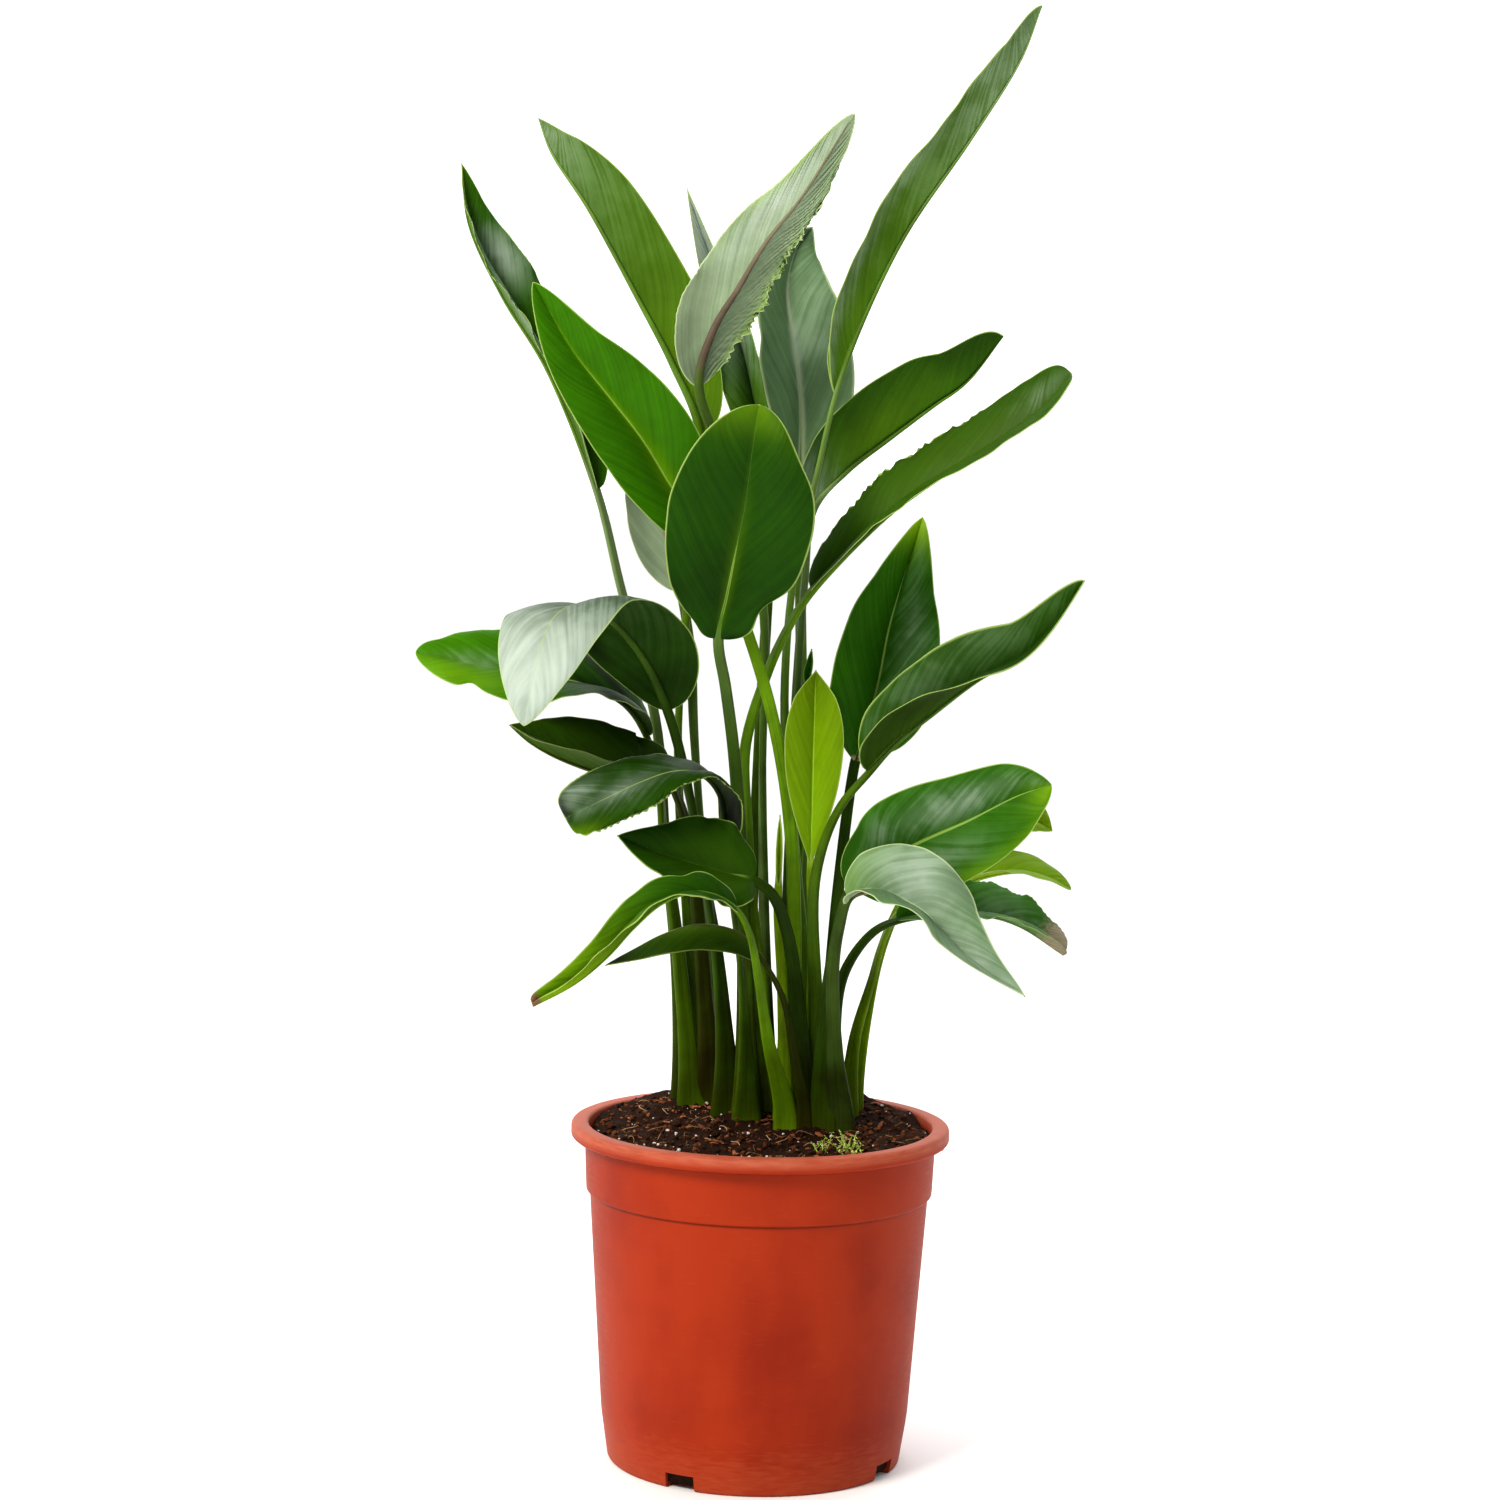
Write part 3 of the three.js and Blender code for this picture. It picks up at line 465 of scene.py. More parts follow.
@dataclass(frozen=True)
class StalkSkin:
    """Leaf stalk and midrib: smooth fleshy fibre with lengthwise streaks, browner near the soil."""

    name: str
    foot: str
    middle: str
    top: str
    wax_and_sheen: str = "#a3b886"
    roughness: float = 0.4
    gloss: float = 0.09
    fibre_mm: tuple[float, float] = (0.9, 40.0)
    cloud_mm: float = 26.3

    def build(self) -> bpy.types.Material:
        """Makes the material. form's red rises from soil to blade, and its green is 1 on the midrib."""
        material, tree = new_material(self.name)
        form = add_node(tree, "Attribute", attribute_name="form")
        rise, on_blade, _ = add_node(tree, "SeparateColor", {0: form}).outputs
        paint = add_node(tree, "Attribute", attribute_name="paint")
        wax_and_sheen = add_node(tree, "SeparateColor", {0: paint}).outputs[1]
        uv = add_node(tree, "UVMap", uv_map="Veins")
        wide, long = self.fibre_mm
        scale = (1 / (wide * MM), 1 / (long * MM), 1.0)
        fibre_at = add_node(tree, "VectorMath", {0: uv, 1: scale}, operation="MULTIPLY")
        fibre = add_node(tree, "TexNoise", {"Vector": fibre_at, "Scale": 1.0, "Detail": 2.0})
        place = add_node(tree, "TexCoord").outputs["Object"]
        cloud = {"Vector": place, "Scale": 1 / (self.cloud_mm * MM), "Detail": 3.0}
        cloud = add_node(tree, "TexNoise", cloud)
        low = add_node(tree, "Math", {0: cloud, 1: -0.5}, operation="ADD")
        low = add_node(tree, "Math", {0: low, 1: 0.6, 2: rise}, operation="MULTIPLY_ADD")
        footed = add_node(tree, "MapRange", {0: low, 1: 0.0, 2: 0.42, 3: 1.0, 4: 0.0})
        colour = linear(self.middle)
        for share, tint in ((footed, self.foot), (on_blade, self.top)):
            mixed = {0: share, 6: colour, 7: linear(tint)}
            colour = add_node(tree, "Mix", mixed, data_type="RGBA")
        tone = -0.05
        for pattern, share in ((fibre, 0.8), (cloud, 1.3)):
            tone = add_node(tree, "Math", {0: pattern, 1: share, 2: tone}, operation="MULTIPLY_ADD")
        tone = add_node(tree, "Math", {0: tone, 1: form.outputs["Alpha"]}, operation="MULTIPLY")
        colour = add_node(tree, "VectorMath", {0: colour, 3: tone}, operation="SCALE")
        # Wax bloom on the stalk, and the blade's bloom marks along the midrib, which are partly a painted
        # sheen.
        wax_and_sheen_mix = {0: wax_and_sheen, 6: colour, 7: linear(self.wax_and_sheen)}
        colour = add_node(tree, "Mix", wax_and_sheen_mix, data_type="RGBA")
        # Painted shade: the blade's dark marks darken the midrib, partly real blackening and partly painted
        # shade.
        shade = add_node(tree, "MapRange", {0: paint.outputs["Alpha"], 3: 1.0, 4: 0.08})
        colour = add_node(tree, "VectorMath", {0: colour, 3: shade}, operation="SCALE")
        bump = add_node(tree, "Bump", {"Strength": 0.5, "Distance": 0.3 * MM, "Height": fibre})
        surface = {"Base Color": colour, "Roughness": self.roughness, "Normal": bump}
        surface |= {"IOR": 1.44, "Specular IOR Level": self.gloss}
        shader = add_node(tree, "BsdfPrincipled", surface)
        add_node(tree, "OutputMaterial", {"Surface": shader})
        return material


class Skin(Enum):
    """The leaves' finishes. Each name is a slot of the record."""

    DEEP = "leaf_deep"
    MID = "leaf_mid"
    BRIGHT = "leaf_bright"
    LIME = "leaf_lime"
    BLUE = "leaf_blue"
    OLIVE = "leaf_olive"


LEAF_SKINS = {
    Skin.DEEP: LeafSkin("waxy_leaf_deep_green", "#1f4402", "#2f530b", dead="#958c74"),
    Skin.MID: LeafSkin("waxy_leaf_mid_green", "#2f5804", "#43640f"),
    Skin.BRIGHT: LeafSkin("waxy_leaf_bright_green", "#3a7002", "#547818"),
    Skin.LIME: LeafSkin("young_leaf_yellow_green", "#6c8c02", "#849c12", rib="#a9cb45", roughness=0.42),
    Skin.BLUE: LeafSkin(
        "bloomed_leaf_grey_green", "#5c7752", "#7c8c70", rib="#b4c49c", edge="#c6d2a6", roughness=0.4
    ),
    Skin.OLIVE: LeafSkin("old_leaf_dark_olive", "#263e03", "#2f4606", edge="#7f8a48", roughness=0.42),
}

STALK_SKINS = {
    Skin.DEEP: StalkSkin("fleshy_stalk_deep_green", "#434604", "#324c06", "#4f7020"),
    Skin.MID: StalkSkin("fleshy_stalk_mid_green", "#4c5606", "#435e0a", "#58782a"),
    Skin.BRIGHT: StalkSkin("fleshy_stalk_bright_green", "#5a6e08", "#547408", "#709432"),
    Skin.LIME: StalkSkin("young_stalk_yellow_green", "#6c8408", "#729008", "#a0c248"),
    Skin.BLUE: StalkSkin("bloomed_stalk_grey_green", "#4c5410", "#56702e", "#6e6052"),
    Skin.OLIVE: StalkSkin("old_stalk_olive", "#3e3408", "#3a4406", "#4c561c"),
}


@dataclass(frozen=True)
class Leaf:
    """One leaf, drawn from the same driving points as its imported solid, with a fine veined blade.

    Lengths are millimetres, and angles degrees.

    Attributes:
        half: The blade's half width.
        fold: How far each half rises from flat.
        wave: The margins' swell and its count.
        turn: How far the upper face is turned about the leaf's line, or else face, the way it looks.
        torn: The share of the width lost at the ragged margin, and the number of tears.
        teeth: The share lost between that margin's small teeth.
        blunt: How pointed the tip is, from 0 for square. base is the same at the foot.
        widest: Where the blade is widest.
        ridge: The height of the pleats along the side veins. ribs is that of the few strong ones.
        crumple: The height of the broad bumps.
        flare: How much wider the stalk's sheath is at the soil, over a height of sheath.
        taper: The share of the stalk's width and depth that is left at the blade.
        groove: The depth of the stalk's channel, as a share. girth is the way round the stalk, and keel
            the midrib's depth below the blade.
        ragged: The part of the blade that is ragged and toothed.
        sweep: How far the side veins lean to the tip.
        rib_to: Where the pale midrib fades. rib_mm is its width, and hem_mm that of the pale margin.
        bites: Gaps in a margin: where, on which hand, how deep and how long.
        tone: The blade's lightness, beside stalk_tone and stalk_wax for the stalk.
    """

    node: str
    skin: Skin
    foot: tuple[float, float]
    stalk: Points
    rib: Points
    half: float
    fold: Curve
    wave: tuple[float, float]
    turn: Curve = ()
    face: Points = ()
    torn: tuple[float, float] = (0.0, 1.0)
    teeth: float = 0.0
    blunt: float = 0.9
    widest: float = 0.4
    base: float = 0.5
    ridge: float = 0.4
    flare: float = 0.9
    ragged: tuple[float, float] = (0.0, 1.0)
    sweep: float = 0.8
    rib_to: float = 1.0
    rib_mm: float = 1.9
    hem_mm: float = 1.1
    crumple: float = 1.3
    ribs: float = 0.0
    bites: tuple[tuple[float, float, float, float], ...] = ()
    tone: float = 1.0
    stalk_tone: float = 1.0
    stalk_wax: float = 0.0
    marks: tuple[Mark, ...] = ()

    bed: float = 195.0
    ground: float = 219.0
    stalk_width: float = 5.4
    stalk_depth: float = 4.2
    taper: float = 0.62
    full_half: float = 32.0
    least_size: float = 0.72
    bow: float = 9.0
    sheath: float = 42.0
    most_slant: float = 0.22
    rib_gap: float = 7.5
    small_teeth: float = 34.0
    pleat_gap: float = 5.5
    bump_gap: float = 34.0
    groove: float = 0.38
    girth: float = 26.0
    keel: float = 2.2
    thickness: float = 0.9
    rows: int = 112
    half_columns: int = 13
    open_share: float = 0.97
    rim_columns: tuple[float, ...] = (0.965, 0.985, 1.0)
    section_steps: int = 10
    rings: tuple[int, int] = (49, 60)
    ring_points: int = 14

    def route(self) -> tuple[Route, float]:
        """The line from the soil to the tip, and the share of it where the blade starts."""
        x, y = self.foot
        points = np.array([(x, y, self.bed), (x, y, self.ground), *self.stalk, *self.rib], dtype=float)
        return Route(points), (len(self.stalk) + 2) / (len(points) - 1)

    def seed(self) -> float:
        """A number of the leaf's own, from its place in the clump."""
        return (self.foot[0] * 7.3 + self.foot[1] * 3.1 + self.half) % 97

    def angle(self, t: np.ndarray, tangent: np.ndarray) -> np.ndarray:
        """How far the leaf has turned about its own line.

        Args:
            t: Shares of the blade's length.
            tangent: The line's direction there.

        Returns:
            The turn in radians.
        """
        if not self.face:
            return np.radians(eased(self.turn, t))
        right, front = self.level(tangent)
        look = eased(self.face, t)
        return np.arctan2(-np.sum(look * right, axis=-1), np.sum(look * front, axis=-1))

    def turned(self, tangent: np.ndarray, angle: np.ndarray) -> tuple[np.ndarray, np.ndarray]:
        """The leaf's own directions after a turn.

        Args:
            tangent: The line's direction.
            angle: The turn in radians.

        Returns:
            The directions across the leaf and out of its upper face.
        """
        right, front = self.level(tangent)
        cosine, sine = np.cos(angle)[..., None], np.sin(angle)[..., None]
        return right * cosine + front * sine, front * cosine - right * sine

    def outline(self, t: np.ndarray) -> np.ndarray:
        """The blade's shape.

        Args:
            t: Shares of the blade's length.

        Returns:
            The half width there, as a share of the widest.
        """
        near = np.clip(1 - ((self.widest - t) / self.widest) ** 2, 0, 1) ** self.base
        far = np.clip(np.cos((t - self.widest) / (1 - self.widest) * math.pi / 2), 0, 1) ** self.blunt
        return np.where(t < self.widest, near, far)

    def size(self) -> float:
        """How thick the stalk is beside a full-grown leaf's."""
        return min(max(self.half / self.full_half, self.least_size), 1)

    def rag(self, t: np.ndarray, s: np.ndarray) -> np.ndarray:
        """What tears, teeth and bites leave of the blade.

        Args:
            t: Shares of the blade's length.
            s: Shares of the half width, negative on one hand.

        Returns:
            The share of the width that is left.
        """
        depth, count = self.torn
        seed = self.seed()
        bite = 0.5 + 0.5 * np.sin(2 * math.pi * count * t)
        nick = wander(np.stack([t * count * 3.7, t * 0, t * 0], axis=-1), seed)
        loss = depth * (bite + 0.55 * nick)
        saw = np.abs((t * self.small_teeth + 0.8 * nick) % 1 - 0.5) * 2
        low, high = self.ragged
        window = smoothstep(low - 0.1, low + 0.05, t) * (1 - smoothstep(high - 0.05, high + 0.1, t))
        loss = (loss + self.teeth * saw) * window
        left = 1 - np.where(s < 0, loss, loss * 0.12) * np.abs(s) ** 3
        for at, hand, deep, reach in self.bites:
            left = left - (s * hand > 0) * deep * np.abs(s) ** 1.5 * np.exp(-(((t - at) / reach) ** 2))
        return left

    def blade(self) -> Surface:
        """The blade: two faces that close at the margin, with rows that follow the side veins."""
        line, start = self.route()
        length = line.length(start, 1)
        even = np.linspace(0, 1, self.rows + 1)
        row = 0.5 * even + 0.5 * (0.5 - 0.5 * np.cos(math.pi * even))
        steps = np.linspace(0, 1, self.half_columns + 1)
        steps = np.append(steps[:-1] * self.open_share, self.rim_columns)
        s = np.concatenate([-steps[:0:-1], steps])[None, :]
        slant = min(1.5 * self.half / length, self.most_slant)
        t = row[:, None] + slant * np.abs(s) ** 1.2 * 4 * (row * (1 - row))[:, None]
        point, tangent = line.at(start + (1 - start) * t)
        side, face = self.turned(tangent, self.angle(t, tangent))
        whole = np.maximum(self.half * self.outline(t), 0.3)
        width = whole * self.rag(t, s)
        size, count = self.wave
        shift = np.where(s < 0, 0.0, 0.37)
        swell = size * np.sqrt(np.sin(math.pi * np.clip(t, 0, 1)) + 1e-9)
        wave = swell * np.sin(2 * math.pi * (count * t + shift))
        ripple = 0.55 * swell * np.sin(2 * math.pi * (count * 2.7 * t + 1.7 * shift + 0.2))
        fold = eased(self.fold, t)
        u = np.zeros_like(t)
        v = np.zeros_like(t)
        for k in range(self.section_steps):
            q = np.abs(s) * (k + 0.5) / self.section_steps
            outer = np.clip(q - 0.5, 0, 1) * 4
            angle = np.radians(fold + self.bow * (2 - 4 * q) + (wave + ripple * outer * 0.5) * outer)
            u = u + np.cos(angle)
            v = v + np.sin(angle)
        reach = np.abs(s) * width / self.section_steps
        middle = point + side * (np.sign(s) * u * reach)[..., None] + face * (v * reach)[..., None]
        normal = self.normals(middle)
        seed = self.seed()
        away = np.abs(s) * whole
        along = row[:, None] * length - self.sweep * away
        inside = smoothstep(0, 0.06, t) * (1 - smoothstep(0.9, 1, t))
        inner = np.sqrt(np.abs(s)) * (1 - np.abs(s) ** 5) * inside
        pleat = wander(np.stack([along / self.pleat_gap, away / 90, 0 * along], axis=-1), seed)
        broad = wander(middle / self.bump_gap, seed + 5)
        bent = wander(np.stack([along / 30, away / 25, 0 * along], axis=-1), seed + 3)
        ribs = np.where(s < 0, 1.0, 0.3) * np.sin(2 * math.pi * (along / self.rib_gap + 0.5 * bent))
        lift = self.ridge * pleat + self.crumple * broad + self.ribs * ribs
        middle = middle + normal * (lift * inner)[..., None]
        normal = self.normals(middle)
        skin = (self.thickness / 2 * (1 - 0.6 * np.abs(s) ** 4))[..., None]
        upper, under = middle + normal * skin, middle - normal * skin
        return self.shell(upper, under, t, s, along, np.sign(s) * away, width)

    def normals(self, points: np.ndarray) -> np.ndarray:
        """The way that a grid of points looks.

        Args:
            points: The grid, with rows along the blade.

        Returns:
            Unit normals, out of the upper face.
        """
        across = np.gradient(points, axis=1)
        along = np.gradient(points, axis=0)
        return self.unit(np.cross(across, along))

    def shell(
        self,
        upper: np.ndarray,
        under: np.ndarray,
        t: np.ndarray,
        s: np.ndarray,
        along: np.ndarray,
        away: np.ndarray,
        width: np.ndarray,
    ) -> Surface:
        """Joins the two faces into one closed skin and paints it.

        Args:
            upper: The upper face's points.
            under: The lower face's points.
            t: The share of the blade's length at each point.
            s: The share of the half width at each column.
            along: Where each row leaves the rib, in millimetres.
            away: Distance from the rib, in millimetres.
            width: The half width at each point.

        Returns:
            The skin.
        """
        rows, columns = t.shape
        around = columns * 2
        last = (rows - 1) * around
        faces = ring_faces(rows, around)
        for k in range(columns - 1):
            low = (k, around - 1 - k, around - 2 - k, k + 1)
            faces.append(low)
            faces.append(tuple(last + i for i in reversed(low)))
        uv = np.stack([along * MM, away * MM], axis=-1)
        shown = (1 - np.clip(t, 0, 1)) * smoothstep(0, 0.2, self.rib_to - t)
        rib_width = self.rib_mm * self.size() * shown + 0.05
        margin = smoothstep(self.hem_mm, 0.2, (1 - np.abs(s)) * width)
        marks = self.stains(t, s + 0 * t, along)
        own = np.full_like(t, self.tone)
        front = np.stack([np.ones_like(t), rib_width, margin, own], axis=-1)
        back = np.stack([np.zeros_like(t), rib_width * 1.4, margin, own], axis=-1)
        pairs = ((upper, under), (uv, uv), (front, back), (marks, marks))
        points, uvs, form, paint = (np.concatenate([a, b[:, ::-1]], axis=1) for a, b in pairs)
        return Surface(points, faces, uvs, form, paint)

    def stains(self, t: np.ndarray, s: np.ndarray, along: np.ndarray) -> np.ndarray:
        """Paints the marks, with uneven rims.

        Args:
            t: Shares of the blade's length.
            s: Shares of the half width.
            along: Where each point's vein leaves the rib, in millimetres.

        Returns:
            The dry, bloom, fresh and dark values. The bloom value is also a painted sheen, and the dark
            value is partly painted shade.
        """
        paint = np.zeros((*t.shape, 4))
        uneven = 0.22 * wander(np.stack([along / 9, s * 1.6, 0 * s], axis=-1), self.seed() + 11)
        for mark in self.marks:
            off = ((t - mark.t) / mark.along) ** 2 + ((s - mark.s) / mark.across) ** 2
            value = mark.strength * np.exp(-off * (1 + 1.5 * uneven))
            value = np.clip(value * (1 + uneven), 0, 1)
            channel = mark.tissue.value
            paint[..., channel] = np.maximum(paint[..., channel], value)
        return paint

    def stem(self) -> Surface:
        """The stalk, which runs on under the blade as its midrib."""
        line, start = self.route()
        below, above = self.rings
        low = np.linspace(0, start, below, endpoint=False)
        share = np.concatenate([low, np.linspace(start, 1, above)])
        point, tangent = line.at(share)
        t = np.clip((share - start) / (1 - start), 0, 1)
        rise = np.clip(share / start, 0, 1)
        angle = self.angle(t, tangent)
        twist = angle[len(low)] * smoothstep(0, 1, rise)
        side, face = self.turned(tangent, np.where(rise < 1, twist, angle))
        shrink = 1 - (1 - self.taper) * rise**0.7
        flare = 1 + self.flare * np.exp(-np.clip(point[:, 2] - self.ground, 0, None) / self.sheath)
        scale = self.size()
        onto = smoothstep(0.0, 0.12, t)
        wide = self.stalk_width * scale * shrink * flare * (1 - 0.86 * t**0.8)
        deep = self.stalk_depth * scale * shrink
        up = deep * 0.85 * (1 - onto) + (0.75 * (1 - t) + 0.1) * onto
        down = deep * (1 - onto) + (self.keel * scale * (1 - t) ** 0.8 + 0.35) * onto
        turn = np.linspace(0, 2 * math.pi, self.ring_points, endpoint=False)
        cosine, sine = np.cos(turn), np.sin(turn)
        across = wide[:, None] * cosine
        channel = self.groove * np.exp(-((cosine / 0.5) ** 2)) * (1 - 0.8 * onto[:, None])
        crest = up[:, None] * (np.abs(sine) ** 0.7 - channel * (sine > 0))
        height = np.where(sine > 0, crest, down[:, None] * sine)
        rings = point[:, None] + side[:, None] * across[..., None] + face[:, None] * height[..., None]
        run = np.concatenate([[0], np.cumsum(np.linalg.norm(np.diff(point, axis=0), axis=1))])
        around = (turn / (2 * math.pi) * self.girth)[None, :] + 0 * across
        uv = np.stack([around * MM, (run[:, None] + 0 * across) * MM], axis=-1)
        blade = np.broadcast_to(onto[:, None], across.shape)
        ones = np.ones_like(across)
        own = self.stalk_tone * (1 - blade) + blade
        form = np.stack([rise[:, None] * ones, blade, 0 * ones, own], axis=-1)
        faces = tube_faces(len(share), self.ring_points, flipped=True)
        marks = self.stains(t[:, None] + 0 * across, 0 * across, 0 * across) * blade[..., None]
        marks[..., Tissue.BLOOM.value] += self.stalk_wax * smoothstep(0.45, 0.9, rise)[:, None] * (1 - blade)
        return Surface(rings, faces, uv, form, marks, slot=1)

    def level(self, tangent: np.ndarray) -> tuple[np.ndarray, np.ndarray]:
        """The directions across and out to the front, before the leaf turns."""
        right = self.unit(np.cross(np.array([0.0, 1.0, 0.0]), tangent))
        return right, self.unit(np.cross(right, tangent))

    @staticmethod
    def unit(vectors: np.ndarray) -> np.ndarray:
        """Vectors of length 1."""
        return vectors / np.maximum(np.linalg.norm(vectors, axis=-1, keepdims=True), 1e-9)

    def build(self, skins: dict[Skin, tuple[bpy.types.Material, bpy.types.Material]]) -> bpy.types.Object:
        """Makes the leaf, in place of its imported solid.

        Args:
            skins: The blade's and the stalk's material for each finish.

        Returns:
            The leaf.
        """
        piece = join([self.blade(), self.stem()], f"{self.node}_grown", list(skins[self.skin]))
        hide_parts(self.node)
        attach(piece, BODY)
        return piece


